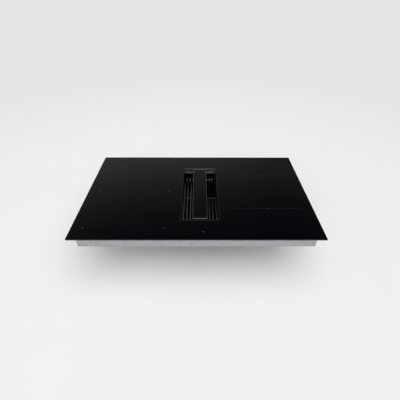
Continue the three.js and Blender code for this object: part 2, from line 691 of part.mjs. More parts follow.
// Axial rotor: a hub with pitched blades trimmed to the bore.
function fanRotor(side) {
  const { x, y } = fanPlace(side);
  const [top, bottom] = [fanTop + FAN.tip, trayFloor - FAN_STRUT.thick - SEAT];
  const reach = FAN.bore - FAN.tip;
  const blades = Array.from({ length: FAN.blades }, (_, i) => {
    const chord = (bottom - top) / Math.sin(THREE.MathUtils.degToRad(FAN.pitch));
    const geometry = new THREE.BoxGeometry(reach, chord, FAN.tip);
    geometry.translate(reach / 2, 0, 0).rotateX(THREE.MathUtils.degToRad(FAN.pitch));
    geometry.rotateZ((2 * Math.PI * i) / FAN.blades);
    return toSolid(geometry.translate(x, y, level((top + bottom) / 2)));
  });
  const swept = cylinder(x, y, reach, top, bottom, 21);
  const hub = cylinder(x, y, FAN.hub - FAN.tip, top, bottom, 14);
  return unite(blades).intersect(swept).add(hub);
}

const controlY = -trayDepth / 2 + TRAY.lip + CONTROL.frontGap + CONTROL.depth / 2;
const controlTop = GLASS_UNDER + 2;

function controlBoard() {
  const { x, width, depth, pads, padRadius } = CONTROL;
  const plate = block(x, controlY, width, depth, controlTop, controlTop + CONTROL.board);
  const pitch = (width - 4 * padRadius) / (pads - 1);
  const touchPads = Array.from({ length: pads }, (_, i) =>
    cylinder(x + (i - (pads - 1) / 2) * pitch, controlY, padRadius, GLASS_UNDER, controlTop + 1, 10),
  );
  return unite([plate, ...touchPads]);
}

// Tray-shaped holder for the control board, on a leg at each end.
function controlHolder() {
  const { x, width, depth } = CONTROL;
  const { thick, leg, rim } = CONTROL_FRAME;
  const top = controlTop + CONTROL.board + SEAT;
  const shape = roundedRect(width, depth, 2, x, controlY);
  shape.holes.push(roundedRect(width - 2 * rim, depth - 2 * rim, 2, x, controlY));
  const legs = [-1, 1].map((side) =>
    block(x + side * ((width - leg) / 2), controlY, leg, depth, top + thick / 2, trayFloor),
  );
  const rib = block(x, controlY, rim, depth, top, top + thick);
  return unite([prism(shape, top, top + thick, 2), ...legs, rib]);
}

// ---------------------------------------------------------------- blower

// Growing radius of the scroll wall, from the tongue round to the outlet.
const scrollRadius = (degrees) => {
  const { tongue, end } = SCROLL_ANGLE;
  return SCROLL.tongue + (SCROLL.growth * (degrees - tongue)) / (end - tongue);
};

function scrollOutline(wall) {
  const start = SCROLL_ANGLE.tongue + (wall ? SCROLL_ANGLE.wrap : 0);
  const points = [];
  for (let step = 0; step <= SCROLL_ANGLE.steps; step += 1) {
    const degrees = start + ((SCROLL_ANGLE.end - start) * step) / SCROLL_ANGLE.steps;
    const angle = THREE.MathUtils.degToRad(degrees);
    const radius = scrollRadius(degrees) + wall;
    points.push([scrollX + radius * Math.cos(angle), scrollY + radius * Math.sin(angle)]);
  }
  const mouth = caseBack - CASE.wall - SEAT + (wall ? 0 : 1);
  const right = scrollX + scrollReach;
  points.push([right + wall, mouth], [right - outletInnerWidth - wall, mouth]);
  return outline(points);
}

function scrollHousing() {
  const shell = prism(scrollOutline(SCROLL.wall), scrollTop, scrollUnder);
  return shell.subtract(prism(scrollOutline(0), scrollTop - 1, scrollFloor));
}

function scrollLid() {
  const radius = INLET.radius + INLET.wall + SEAT;
  const hole = cylinder(scrollX, scrollY, radius, lidTop - 1, scrollTop + 1);
  return prism(scrollOutline(SCROLL.wall), lidTop, scrollTop).subtract(hole);
}

// Bell-mouthed ring, hung by its rim in the hole of the lid, that reaches up into the plenum.
function inletRing() {
  const { radius, wall, flare, rise, dip, rim, rimThick } = INLET;
  const outer = radius + wall;
  const section = [
    [radius, lidTop],
    [outer - flare, lidTop - rise],
    [outer, lidTop - rise],
    [outer, lidTop - rimThick],
    [outer + rim, lidTop - rimThick],
    [outer + rim, lidTop],
    [outer, lidTop],
    [outer, scrollTop + dip],
    [radius, scrollTop + dip],
    [radius, lidTop],
  ];
  return turned(section, scrollX, scrollY);
}

// Backward-curved blower wheel: domed back plate, swept blades and a shroud ring.
function impeller() {
  const { radius, blades, inner, lean, blade, gap } = IMPELLER;
  const plateTop = backPlate - HUB.wall;
  const wheelTop = scrollTop + gap;
  const bore = MOTOR.shaft + SEAT;
  const crown = HUB.radius - HUB.taper;
  const dome = [
    [bore, hubTop - HUB.wall],
    [crown, hubTop - HUB.wall],
    [HUB.radius, plateTop],
    [radius, plateTop],
    [radius, backPlate],
    [HUB.radius - HUB.wall, backPlate],
    [crown - HUB.wall, hubTop],
    [HUB.boss, hubTop],
    [HUB.boss, hubTop + HUB.wall],
    [bore, hubTop + HUB.wall],
    [bore, hubTop - HUB.wall],
  ];
  const ring = [
    [radius - HUB.ring, wheelTop],
    [radius, wheelTop],
    [radius, wheelTop + HUB.ringThick],
    [radius - HUB.ring, wheelTop + HUB.ringThick],
    [radius - HUB.ring, wheelTop],
  ];
  const edge = (offset) =>
    [0, 0.25, 0.5, 0.75, 1].map((along) => {
      const r = inner + (radius - blade - inner) * along;
      const angle = -THREE.MathUtils.degToRad(lean) * Math.sqrt(along) + offset / r;
      return [scrollX + r * Math.cos(angle), scrollY + r * Math.sin(angle)];
    });
  const section = outline([...edge(-blade / 2), ...edge(blade / 2).reverse()]);
  const single = prism(section, wheelTop + HUB.ringThick / 2, plateTop + HUB.wall / 2);
  const wheel = [turned(dome, scrollX, scrollY), turned(ring, scrollX, scrollY)];
  for (let i = 0; i < blades; i += 1) {
    const there = single.translate([-scrollX, -scrollY, 0]).rotate([0, 0, (360 * i) / blades]);
    wheel.push(there.translate([scrollX, scrollY, 0]));
  }
  return unite(wheel);
}

// Motor can on a round foot, with a blind bore for its shaft.
function motor() {
  const footTop = scrollFloor - MOTOR.footThick;
  const bore = MOTOR.shaft + SEAT;
  const profile = [
    [0, scrollFloor],
    [MOTOR.foot, scrollFloor],
    [MOTOR.foot, footTop],
    [MOTOR.radius - MOTOR_CAN.neck, footTop],
    [MOTOR.radius - MOTOR_CAN.neck, footTop - MOTOR_CAN.neckRise],
    [MOTOR.radius, footTop - MOTOR_CAN.shoulder],
    [MOTOR.radius, motorTop + MOTOR_CAN.chamfer],
    [MOTOR.radius - MOTOR_CAN.chamfer, motorTop],
    [bore, motorTop],
    [bore, footTop],
    [0, footTop],
  ];
  return turned(profile, scrollX, scrollY, 18);
}

function motorShaft() {
  const bottom = scrollFloor - MOTOR.footThick - SEAT;
  const shoulder = hubTop - HUB.wall - SEAT;
  const top = shoulder - MOTOR.shaftRise;
  const profile = [
    [0, bottom],
    [MOTOR.shaft, bottom],
    [MOTOR.shaft, shoulder],
    [MOTOR_CAP.radius, shoulder],
    [MOTOR_CAP.radius, shoulder - MOTOR_CAP.thick],
    [MOTOR.shaft, shoulder - MOTOR_CAP.thick],
    [MOTOR.shaft, top],
    [0, top],
  ];
  return turned(profile, scrollX, scrollY, 16);
}

// Waisted rubber mounts between the scroll and the floor of the case.
function buffer(angleDegrees) {
  const angle = THREE.MathUtils.degToRad(angleDegrees);
  const middle = (scrollUnder + caseFloor) / 2;
  const profile = [
    [0, caseFloor],
    [BUFFER.radius, caseFloor],
    [BUFFER.waist, middle],
    [BUFFER.radius, scrollUnder],
    [0, scrollUnder],
  ];
  const [x, y] = [scrollX + BUFFER.spread * Math.cos(angle), scrollY + BUFFER.spread * Math.sin(angle)];
  return turned(profile, x, y, 12);
}

function blowerCase() {
  const outer = prism(roundedRect(CASE.width, CASE.depth, CASE.corner, VENT.x, caseY), TRAY.floor, HEIGHT);
  const innerShape = roundedRect(
    CASE.width - 2 * CASE.wall,
    CASE.depth - 2 * CASE.wall,
    CASE.corner - CASE.wall,
    VENT.x,
    caseY,
  );
  const cavity = prism(innerShape, TRAY.floor - 1, caseFloor);
  const flangeShape = roundedRect(
    CASE.width + 2 * CASE.flange,
    CASE.depth + CASE.flange,
    CASE.corner,
    VENT.x,
    caseY - CASE.flange / 2,
  );
  const flange = prism(flangeShape, TRAY.floor, TRAY.floor + CASE.wall).subtract(cavity);
  const notch = block(
    VENT.x,
    caseY - CASE.depth / 2,
    plenumWidth + 2 * TRAY.plenumPlay,
    4 * CASE.flange,
    TRAY.floor - 1,
    PLENUM.bottom + TRAY.plenumPlay,
  );
  const [top, bottom] = [outletDepth - outletInnerHeight / 2, outletDepth + outletInnerHeight / 2];
  const window = block(outletX, caseBack, outletInnerWidth, 4 * CASE.wall, top, bottom);
  return cut(outer.subtract(cavity).add(flange), [notch, window]);
}

// Flanged spigot for a flat duct.
function outletSpigot() {
  const z = level(outletDepth);
  const tube = roundedRect(OUTLET.width, OUTLET.height, 2 * OUTLET.wall, outletX, z);
  const flange = roundedRect(
    OUTLET.width + 2 * OUTLET.flange,
    OUTLET.height + 2 * OUTLET.flange,
    OUTLET.flange / 2,
    outletX,
    z,
  );
  const bore = roundedRect(outletInnerWidth, outletInnerHeight, OUTLET.wall, outletX, z);
  const body = prismAlongY(flange, caseBack, caseBack + OUTLET.flangeThick).add(
    prismAlongY(tube, caseBack, caseBack + OUTLET.reach),
  );
  return body.subtract(prismAlongY(bore, caseBack - 1, caseBack + OUTLET.reach + 1));
}

// ---------------------------------------------------------------- connections and clamps

const terminalX = TERMINAL.side - trayWidth / 2;
const terminalY = GLASS.depth / 2 - TERMINAL.back - TERMINAL.depth / 2;

function terminalBox() {
  const { width, depth, height, lid, corner } = TERMINAL;
  const bottom = TRAY.floor + height;
  const body = prism(roundedRect(width, depth, corner, terminalX, terminalY), TRAY.floor, bottom - lid);
  const cap = prism(
    roundedRect(width + lid, depth + lid, corner + lid / 2, terminalX, terminalY),
    bottom - lid,
    bottom,
  );
  return body.add(cap);
}

function cableGland() {
  const { bore, sleeve, nut, length } = GLAND;
  const wall = terminalY + TERMINAL.depth / 2;
  const ring = (outer, reach, segments) => {
    const profile = [
      [bore, 0],
      [outer, 0],
      [outer, reach],
      [bore, reach],
      [bore, 0],
    ].map(([r, along]) => new THREE.Vector2(r, along));
    const geometry = new THREE.LatheGeometry(profile, segments);
    const depthDown = TRAY.floor + nut + SEAT;
    return toSolid(geometry.translate(terminalX, wall, level(depthDown)));
  };
  return ring(nut, length / 3, 6).add(ring(sleeve, length, 18));
}

// Bent spring strip on the tray wall that grips the side of the worktop cut-out.
function mountingClamp(side, end) {
  const wall = (side * trayWidth) / 2;
  const { thick, reach, top, elbow, bottom, width, slant } = CLAMP;
  const out = (distance) => wall + side * distance;
  const points = [
    [out(0), level(top)],
    [out(thick), level(top)],
    [out(thick), level(top + 2 * thick)],
    [out(reach), level(elbow)],
    [out(2 * thick), level(bottom)],
    [out(thick), level(bottom)],
    [out(reach - slant * thick), level(elbow)],
    [out(0), level(top + 3 * thick)],
  ];
  const y = ZONE.y + end * CLAMP.y;
  const shape = outline(side > 0 ? points.reverse() : points);
  return prismAlongY(shape, y - width / 2, y + width / 2);
}

// ---------------------------------------------------------------- assembly

const cooktop = new THREE.Group();
const add = (name, solid, look) => cooktop.add(piece(name, solid, LOOK[look]));

add("glass_top", glassTop(), "glass");
add("edge_seal", edgeSeal(), "seal");
add("vent_collar", ventCollar(), "collar");
add("collar_seal", collarSeal(), "seal");
add("cover_glass", coverGlass(), "glass");
add("cover_frame", coverFrame(), "trim");
add("filter_frame", filterFrame(), "graphite");
add("filter_base", filterBase(), "graphite");
add("filter_crossbar", filterCrossbar(), "graphite");
add("vanes_left", vanes(-1), "graphite");
add("vanes_right", vanes(1), "graphite");
add("filter_mesh", filterMesh(), "graphite");
add("catch_tray", catchTray(), "black");
add("plenum", plenum(), "black");
add("coil_tray", coilTray(), "zinc");
add("tray_floor", trayFloorSheet(), "zinc");

for (const [sideName, side] of [["left", -1], ["right", 1]]) {
  for (const [endName, end] of [["front", -1], ["rear", 1]]) {
    const y = ZONE.y + (end * ZONE.pitch) / 2;
    for (const [part, build] of Object.entries(zoneSolids)) {
      add(`${part}_${endName}_${sideName}`, build(sideX(side), y), ZONE_LOOK[part]);
    }
    add(`mounting_clamp_${endName}_${sideName}`, mountingClamp(side, end), "steel");
  }
  add(`power_board_${sideName}`, powerBoard(side), "circuit");
  add(`heat_sink_${sideName}`, heatSink(side), "aluminium");
  add(`fan_frame_${sideName}`, fanFrame(side), "black");
  add(`fan_rotor_${sideName}`, fanRotor(side), "black");
}
add("control_board", controlBoard(), "circuit");
add("control_holder", controlHolder(), "white");

add("blower_case", blowerCase(), "zinc");
add("scroll_housing", scrollHousing(), "grey");
add("scroll_lid", scrollLid(), "grey");
add("inlet_ring", inletRing(), "grey");
add("impeller", impeller(), "black");
add("motor", motor(), "aluminium");
add("motor_shaft", motorShaft(), "steel");
[45, 135, 225, 315].forEach((angle, i) => add(`scroll_buffer_${i + 1}`, buffer(angle), "rubber"));
add("outlet_spigot", outletSpigot(), "black");
add("terminal_box", terminalBox(), "black");
add("cable_gland", cableGland(), "black");

export default cooktop;
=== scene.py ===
import json
from itertools import product
from math import asin, cos, hypot, pi, radians, sin, sqrt
from types import SimpleNamespace as Sizes

import bmesh
import bpy
from mathutils import Matrix, Vector


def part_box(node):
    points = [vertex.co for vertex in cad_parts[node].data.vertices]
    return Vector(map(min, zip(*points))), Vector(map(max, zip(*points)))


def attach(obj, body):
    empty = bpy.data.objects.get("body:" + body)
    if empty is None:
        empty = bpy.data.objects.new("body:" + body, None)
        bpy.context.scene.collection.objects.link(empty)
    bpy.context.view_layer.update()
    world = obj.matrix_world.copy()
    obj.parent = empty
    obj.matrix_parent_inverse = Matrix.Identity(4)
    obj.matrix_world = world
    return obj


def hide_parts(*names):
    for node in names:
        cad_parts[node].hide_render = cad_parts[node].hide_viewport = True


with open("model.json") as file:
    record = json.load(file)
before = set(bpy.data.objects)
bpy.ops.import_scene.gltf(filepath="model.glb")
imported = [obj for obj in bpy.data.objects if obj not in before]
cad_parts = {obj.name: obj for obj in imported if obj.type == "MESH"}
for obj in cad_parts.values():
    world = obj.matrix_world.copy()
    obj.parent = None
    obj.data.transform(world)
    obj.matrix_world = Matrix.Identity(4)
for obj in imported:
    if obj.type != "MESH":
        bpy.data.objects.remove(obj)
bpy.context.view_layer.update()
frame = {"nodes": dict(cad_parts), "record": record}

MM = 0.001
SURFACE = 212.0  # height of the glass surface above the base, mm


def link(obj):
    bpy.context.scene.collection.objects.link(obj)


# ---- camera

CAMERA = Sizes(
    place=(0.00544, -0.8988, 0.87557), pitch=radians(38.184), yaw=-0.00689, roll=0.00496,
    lens=26.155, sensor=36.0, sight=100.0,
)


def make_camera():
    data = bpy.data.cameras.new("camera")
    data.lens = CAMERA.lens
    data.sensor_width = CAMERA.sensor
    data.clip_end = CAMERA.sight
    pitch, yaw, roll = CAMERA.pitch, CAMERA.yaw, CAMERA.roll
    forward = Vector((-sin(yaw) * cos(pitch), cos(yaw) * cos(pitch), -sin(pitch)))
    right = forward.cross(Vector((0, 0, 1))).normalized()
    up = right.cross(forward)
    turned_right = cos(roll) * right + sin(roll) * up
    turned_up = -sin(roll) * right + cos(roll) * up
    matrix = Matrix((turned_right, turned_up, -forward)).transposed().to_4x4()
    matrix.translation = Vector(CAMERA.place)
    camera = bpy.data.objects.new("camera", data)
    camera.matrix_world = matrix
    link(camera)
    bpy.context.scene.camera = camera


# ---- shader helpers


class Nodes:
    """A node tree under construction."""

    def __init__(self, tree):
        self.tree = tree

    def put(self, value, socket):
        """Links an output to a socket, or sets the socket to a plain value."""
        if isinstance(value, bpy.types.NodeSocket):
            self.tree.links.new(value, socket)
        else:
            socket.default_value = value

    def fill(self, node, inputs):
        for name, value in inputs.items():
            self.put(value, node.inputs[name.replace("_", " ")])

    def node(self, kind, **inputs):
        made = self.tree.nodes.new("ShaderNode" + kind)
        self.fill(made, inputs)
        return made

    def result(self, kind, operation, *values):
        """Outcome of a Math or VectorMath node."""
        made = self.node(kind)
        made.operation = operation
        for value, socket in zip(values, made.inputs):
            self.put(value, socket)
        return made.outputs["Value"]

    def remap(self, value, low, high, from_low=0.0, from_high=1.0):
        """A value between from_low and from_high, moved to between low and high."""
        span = {"From_Min": from_low, "From_Max": from_high, "To_Min": low, "To_Max": high}
        return self.node("MapRange", Value=value, **span).outputs["Result"]

    def ramp(self, value, stops):
        """Colour along (place, colour) stops."""
        made = self.node("ValToRGB", Fac=value)
        elements = made.color_ramp.elements
        while len(elements) < len(stops):
            elements.new(1.0)
        for element, (place, color) in zip(elements, stops):
            element.position = place
            element.color = (*color, 1)
        return made.outputs["Color"]

    def mix(self, kind, factor, a, b):
        """Two colours, mixed in a given way."""
        made = self.node("Mix")
        made.data_type = "RGBA"
        made.blend_type = kind
        values = {"Factor": factor, "A": a, "B": b}
        for socket in made.inputs:
            if socket.enabled and socket.name in values:
                self.put(values[socket.name], socket)
        return next(output for output in made.outputs if output.enabled)


class Shader(Nodes):
    """A material under construction."""

    def __init__(self, name, **inputs):
        self.material = bpy.data.materials.new(name)
        self.material.use_nodes = True
        super().__init__(self.material.node_tree)
        self.bsdf = self.tree.nodes["Principled BSDF"]
        self.coords = self.node("TexCoord").outputs["Object"]
        self.set(**inputs)

    def set(self, **inputs):
        self.fill(self.bsdf, inputs)

    def stretched(self, scale):
        """Object coordinates, scaled along each axis."""
        return self.node("Mapping", Vector=self.coords, Scale=scale).outputs["Vector"]

    def noise(self, scale, detail, stretch=None):
        coords = self.stretched(stretch) if stretch else self.coords
        return self.node("TexNoise", Vector=coords, Scale=scale, Detail=detail).outputs["Fac"]

    def cells(self, scale, feature="F1", output="Distance"):
        made = self.node("TexVoronoi", Vector=self.coords, Scale=scale)
        made.feature = feature
        return made.outputs[output]

    def flakes(self, scale):
        """Cells with a grey of their own each."""
        return self.node("RGBToBW", Color=self.cells(scale, output="Color")).outputs["Val"]

    def tint(self, value, tones, span=(0.3, 0.7)):
        """Colour between two tones."""
        return self.ramp(value, list(zip(span, tones)))

    def bump(self, height, distance, strength):
        made = self.node("Bump", Height=height, Distance=distance, Strength=strength)
        self.set(Normal=made.outputs["Normal"])

    def finish(self, color, pattern, rough=None, relief=None):
        """Sets the colour, and the roughness and relief that follow a pattern."""
        self.set(Base_Color=color)
        if rough:
            self.set(Roughness=self.remap(pattern, *rough))
        if relief:
            self.bump(pattern, *relief)
        return self.material


# ---- materials

STEEL_GREY = (0.99, 0.99, 1.0)
COATED_TONES = ((0.022, 0.022, 0.024), (0.04, 0.04, 0.043))
ANODISED_TONES = ((0.05, 0.05, 0.054), (0.075, 0.075, 0.08))
BLACK_PLASTIC = ((0.012, 0.012, 0.013), (0.019, 0.019, 0.02))
GREY_PLASTIC = ((0.085, 0.09, 0.095), (0.11, 0.115, 0.12))
WHITE_PLASTIC = ((0.62, 0.62, 0.59), (0.72, 0.72, 0.69))

# Looks with a painted highlight along an upper edge: material, height of the edge, the Y where the
# painted highlight is dull and where bright (in metres), brightness of the painted highlight,
# tones of the coating.
PAINTED_HIGHLIGHT_EDGES = {
    "hem": ("hemmed_baffle", 0.1757, 0.12, 0.03, (0.72, 0.92), COATED_TONES),
    "hem_right": ("hemmed_baffle_right", 0.1757, 0.02, -0.1, (0.5, 0.64), COATED_TONES),
    "shelf": ("filter_rim", 0.1956, 0.15, 0.152, (0.62, 0.84), COATED_TONES),
    "rim": ("collar_rim", 0.2106, 0.15, 0.165, (0.13, 0.18), ANODISED_TONES),
}


def ceramic_glass():
    s = Shader("ceramic_glass", IOR=1.5, Specular_Tint=(0.98, 0.92, 1.0, 1.0))
    tones = (0.001, 0.0006, 0.0014), (0.0014, 0.0009, 0.002)
    wiped = s.noise(3.0, 5.0, (1.0, 6.0, 1.0))
    s.bump(s.noise(14.0, 1.0), 0.00002, 0.2)
    return s.finish(s.tint(s.noise(9.0, 4.0), tones), wiped, (0.02, 0.05, 0.35, 0.7))


def grained(name, grain, tones, rough=None, relief=None, **inputs):
    """Material whose colour, roughness and relief follow one grain."""
    s = Shader(name, **inputs)
    pattern = s.noise(*grain)
    return s.finish(s.tint(pattern, tones), pattern, rough, relief)


def zone_print():
    tones = (0.042, 0.042, 0.044), (0.06, 0.06, 0.062)
    return grained("zone_print", (900.0, 2.0), tones, Roughness=0.45)


def line_print():
    tones = (0.011, 0.011, 0.012), (0.018, 0.018, 0.019)
    return grained("line_print", (700.0, 2.0), tones, Roughness=0.4)


def anodised(name="dark_anodised", shine=1.0):
    tones = [[shine * c for c in tone] for tone in ANODISED_TONES]
    grain = (600.0, 4.0, (1.0, 0.04, 1.0))
    return grained(name, grain, tones, (0.16, 0.24), (0.00001, 0.2), Metallic=1.0)


def brushed_trim():
    tones = (0.21, 0.205, 0.215), (0.33, 0.325, 0.335)
    grain = (900.0, 5.0, (1.0, 0.03, 1.0))
    return grained("brushed_trim", grain, tones, (0.22, 0.4), (0.00001, 0.5), Metallic=1.0)


def rivet_metal():
    tones = (0.9, 0.9, 0.91), (0.97, 0.97, 0.98)
    return grained("rivet_metal", (900.0, 2.0), tones, (0.4, 0.5), Metallic=1.0)


def satin_steel():
    s = Shader("satin_steel", Metallic=1.0)
    grain = s.noise(500.0, 5.0, (1.0, 0.05, 1.0))
    stain = s.tint(s.noise(14.0, 4.0), ((0.3, 0.305, 0.31), (0.42, 0.425, 0.43)))
    return s.finish(stain, grain, (0.25, 0.45), (0.00001, 0.4))


def graphite():
    s = Shader("graphite_coating", Metallic=1.0)
    grain = s.noise(700.0, 3.0, (1.0, 0.2, 1.0))
    cloud = s.tint(s.noise(25.0, 3.0), ((0.016, 0.016, 0.018), (0.03, 0.03, 0.033)))
    return s.finish(cloud, grain, (0.26, 0.4), (0.00001, 0.4))


def painted_highlight_edge(name, height, dull_y, bright_y, highlight_levels, tones):
    """Coated sheet whose upper edge carries a painted highlight, dull at one Y and bright at
    another.
    """
    s = Shader(name, Metallic=1.0)
    grain = s.noise(800.0, 4.0, (1.0, 0.05, 1.0))
    cloud = s.noise(60.0, 3.0)
    place = s.node("SeparateXYZ", Vector=s.coords).outputs
    fade = 0.4 * MM
    edge = s.remap(place["Z"], 0.0, 1.0, height - fade, height + fade)
    reach = s.remap(place["Y"], 0.0, 1.0, dull_y, bright_y)
    coated = s.tint(cloud, tones)
    # painted highlight: the upper edge is shown brighter than its coating, fading in along Y
    highlight_tone = s.tint(cloud, [[share * c for c in STEEL_GREY] for share in highlight_levels])
    painted_highlight = s.mix("MIX", edge, coated, highlight_tone)
    color = s.mix("MIX", reach, coated, painted_highlight)
    return s.finish(color, grain, (0.24, 0.38), (0.00001, 0.3))


def galvanised():
    s = Shader("galvanised_sheet", Metallic=1.0)
    spangle = s.tint(s.flakes(240.0), ((0.4, 0.41, 0.425), (0.47, 0.48, 0.5)), (0.2, 0.8))
    haze = s.noise(30.0, 4.0)
    return s.finish(spangle, haze, (0.36, 0.56), (0.00002, 0.3))


def moulded(name, tones, rough):
    """Plastic with a fine leather grain."""
    s = Shader(name)
    leather = s.noise(1400.0, 3.0)
    cloud = s.tint(s.noise(18.0, 3.0), tones)
    return s.finish(cloud, leather, (rough - 0.06, rough + 0.08), (0.00003, 0.4))


def foam():
    s = Shader("sealing_foam", Roughness=0.9)
    pores = s.cells(1200.0)
    color = s.tint(pores, ((0.008, 0.008, 0.008), (0.03, 0.03, 0.03)), (0.1, 0.6))
    return s.finish(color, pores, relief=(0.0002, 0.7))


def rubber():
    tones = (0.012, 0.012, 0.012), (0.022, 0.022, 0.022)
    return grained("rubber", (800.0, 3.0), tones, relief=(0.00005, 0.4), Roughness=0.75)


def mica():
    s = Shader("mica_paper")
    flakes = s.flakes(260.0)
    color = s.tint(flakes, ((0.27, 0.25, 0.2), (0.42, 0.39, 0.32)), (0.2, 0.8))
    return s.finish(color, flakes, (0.5, 0.75), (0.00003, 0.5))


def enamelled_copper():
    tones = (0.36, 0.13, 0.05), (0.62, 0.27, 0.13)
    strands = (420.0, 3.0, (1.0, 1.0, 0.2))
    coat = {"Metallic": 1.0, "Coat_Weight": 0.4, "Coat_Roughness": 0.2}
    return grained("enamelled_copper", strands, tones, (0.25, 0.5), (0.0003, 0.6), **coat)


def aluminium():
    tones = (0.48, 0.485, 0.49), (0.62, 0.625, 0.63)
    grain = (350.0, 4.0, (0.05, 1.0, 1.0))
    return grained("mill_aluminium", grain, tones, (0.28, 0.48), (0.00002, 0.4), Metallic=1.0)


def circuit_board():
    s = Shader("lacquered_board", Roughness=0.4)
    tracks = s.cells(190.0, "DISTANCE_TO_EDGE")
    color = s.tint(tracks, ((0.03, 0.14, 0.06), (0.012, 0.07, 0.03)), (0.03, 0.12))
    return s.finish(color, tracks, relief=(0.00003, 0.4))


def make_materials():
    """Materials by slot, and by look where a piece differs from its slot."""
    return {
        "glass": ceramic_glass(),
        "seal": foam(),
        "collar": anodised(),
        "trim": brushed_trim(),
        "steel": satin_steel(),
        "graphite": graphite(),
        "zinc": galvanised(),
        "black": moulded("black_plastic", BLACK_PLASTIC, 0.5),
        "grey": moulded("grey_plastic", GREY_PLASTIC, 0.55),
        "white": moulded("white_plastic", WHITE_PLASTIC, 0.5),
        "mica": mica(),
        "copper": enamelled_copper(),
        "aluminium": aluminium(),
        "circuit": circuit_board(),
        "rubber": rubber(),
        "bar": anodised("bar_anodised", 1.7),
        "rivet": rivet_metal(),
        "print": zone_print(),
        "line": line_print(),
        # looks whose upper edge carries a painted highlight
        **{look: painted_highlight_edge(*edge) for look, edge in PAINTED_HIGHLIGHT_EDGES.items()},
    }


# ---- mesh helpers


def make_piece(name, part, body, node=None, look=None, slot=None, weighted=True):
    """A piece from a part, which is (points in millimetres, faces)."""
    points, faces = part
    mesh = bpy.data.meshes.new(name)
    mesh.from_pydata([[c * MM for c in point] for point in points], [], faces)
    mesh.validate()
    finish_mesh(name, mesh, body, node, look, slot, weighted=weighted)


def finish_mesh(name, mesh, body, node=None, look=None, slot=None, sharp=35.0, weighted=True):
    """Puts a mesh in the scene. Where no slot is given, it takes that of the node it replaces."""
    slot = slot or SLOT_OF[node]
    bm = bmesh.new()
    bm.from_mesh(mesh)
    bmesh.ops.recalc_face_normals(bm, faces=bm.faces)
    bm.to_mesh(mesh)
    bm.free()
    mesh.materials.append(MATERIALS[look or slot])
    mesh.shade_smooth()
    mesh.set_sharp_from_angle(angle=radians(sharp))
    obj = bpy.data.objects.new(name, mesh)
    link(obj)
    if weighted:
        modifier = obj.modifiers.new("weighted", "WEIGHTED_NORMAL")
        modifier.keep_sharp = True
        modifier.weight = 100
    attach(obj, body)
    if node:
        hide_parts(node)


DOWN, LEFT, RIGHT, FRONT, BACK = (0, 0, -1), (-1, 0, 0), (1, 0, 0), (0, -1, 0), (0, 1, 0)
MIDWAY = 0.3  # inset at the middle of a softened edge, as a share of its rounding


def quarter(steps):
    """Angles from 0 to 90 degrees."""
    return [pi / 2 * i / steps for i in range(steps + 1)]


def round_ring(radius, z, sides, wave=0.0, lobes=0, start=0.0, x=0.0, y=0.0):
    """Points of a circle at height z, whose radius may wave in lobes."""
    turns = [start + 2 * pi * i / sides for i in range(sides)]
    reach = [radius + wave * cos(lobes * a) for a in turns]
    return [(x + d * cos(a), y + d * sin(a), z) for d, a in zip(reach, turns)]


def rounded_ring(width, length, radius, x, y, z, steps=6):
    """Points of a rounded rectangle at height z, anticlockwise from the right front corner."""
    points = []
    for turn, (right, back) in enumerate(((1, -1), (1, 1), (-1, 1), (-1, -1))):
        centre_x = x + right * (width / 2 - radius)
        centre_y = y + back * (length / 2 - radius)
        for step in range(steps + 1):
            angle = pi / 2 * (turn - 1 + step / steps)
            points.append((centre_x + radius * cos(angle), centre_y + radius * sin(angle), z))
    return points


def outline(size, corner, middle, least=0.3, steps=6):
    """Function for a rounded rectangle at a height, drawn in by an inset all round and by a
    further length at front and back. Its corners keep at least the least radius."""

    def ring(inset, z, shorter=0.0):
        width, length = size[0] - 2 * inset, size[1] - 2 * inset - 2 * shorter
        radius = max(corner - inset - shorter, least)
        return rounded_ring(width, length, radius, middle[0], middle[1], z, steps)

    return ring


def bridge(rings, closed=True):
    """Part with quads between rings of equal count; closed, the last ring joins the first."""
    count = len(rings[0])
    points = [point for ring in rings for point in ring]
    faces = []
    last = len(rings) if closed else len(rings) - 1
    for i in range(last):
        a, b = i * count, ((i + 1) % len(rings)) * count
        for j in range(count):
            k = (j + 1) % count
            faces.append((a + j, a + k, b + k, b + j))
    return points, faces


def capped(rings):
    """Closed part from rings, given from the bottom up."""
    points, faces = bridge(rings, closed=False)
    count = len(rings[0])
    faces.append(tuple(range(count))[::-1])
    faces.append(tuple(range(len(points) - count, len(points))))
    return points, faces


def merge(parts):
    """One part from several."""
    points, faces = [], []
    for part_points, part_faces in parts:
        start = len(points)
        points.extend(part_points)
        faces.extend(tuple(i + start for i in face) for face in part_faces)
    return points, faces


def soft_block(middle, block, bottom, top):
    """Block with rounded upright edges and softened ends."""
    width, length, radius, edge = block
    ring = outline((width, length), radius, middle, 0.05, 3)
    near = MIDWAY * edge
    ends = [(edge, bottom), (near, bottom + near), (0, bottom + edge)]
    ends += [(0, top - edge), (near, top - near), (edge, top)]
    return capped([ring(inset, z) for inset, z in ends])


def turned(profile, x=0.0, y=0.0, sides=96):
    """Rings about a vertical axis from (radius, z) pairs."""
    return [round_ring(radius, z, sides, x=x, y=y) for radius, z in profile]


def placed(part, place, out=(0, 0, 1), along=(1, 0, 0)):
    """A part moved to a place, with its Z along out and its X along along."""
    points, faces = part
    out, along = Vector(out), Vector(along)
    across = out.cross(along)
    moved = [Vector(place) + x * along + y * across + z * out for x, y, z in points]
    return [tuple(point) for point in moved], faces


HEAD = Sizes(foot=0.98, sink=0.3, edge=0.3, sides=24, lobes=6)
# Recess of a screw from its rim inwards: share of the radius and of the rise, depth of the lobes.
RECESS = ((0.5, 1.0, 0.16), (0.46, 0.5, 0.16), (0.08, 0.4, 0.0))


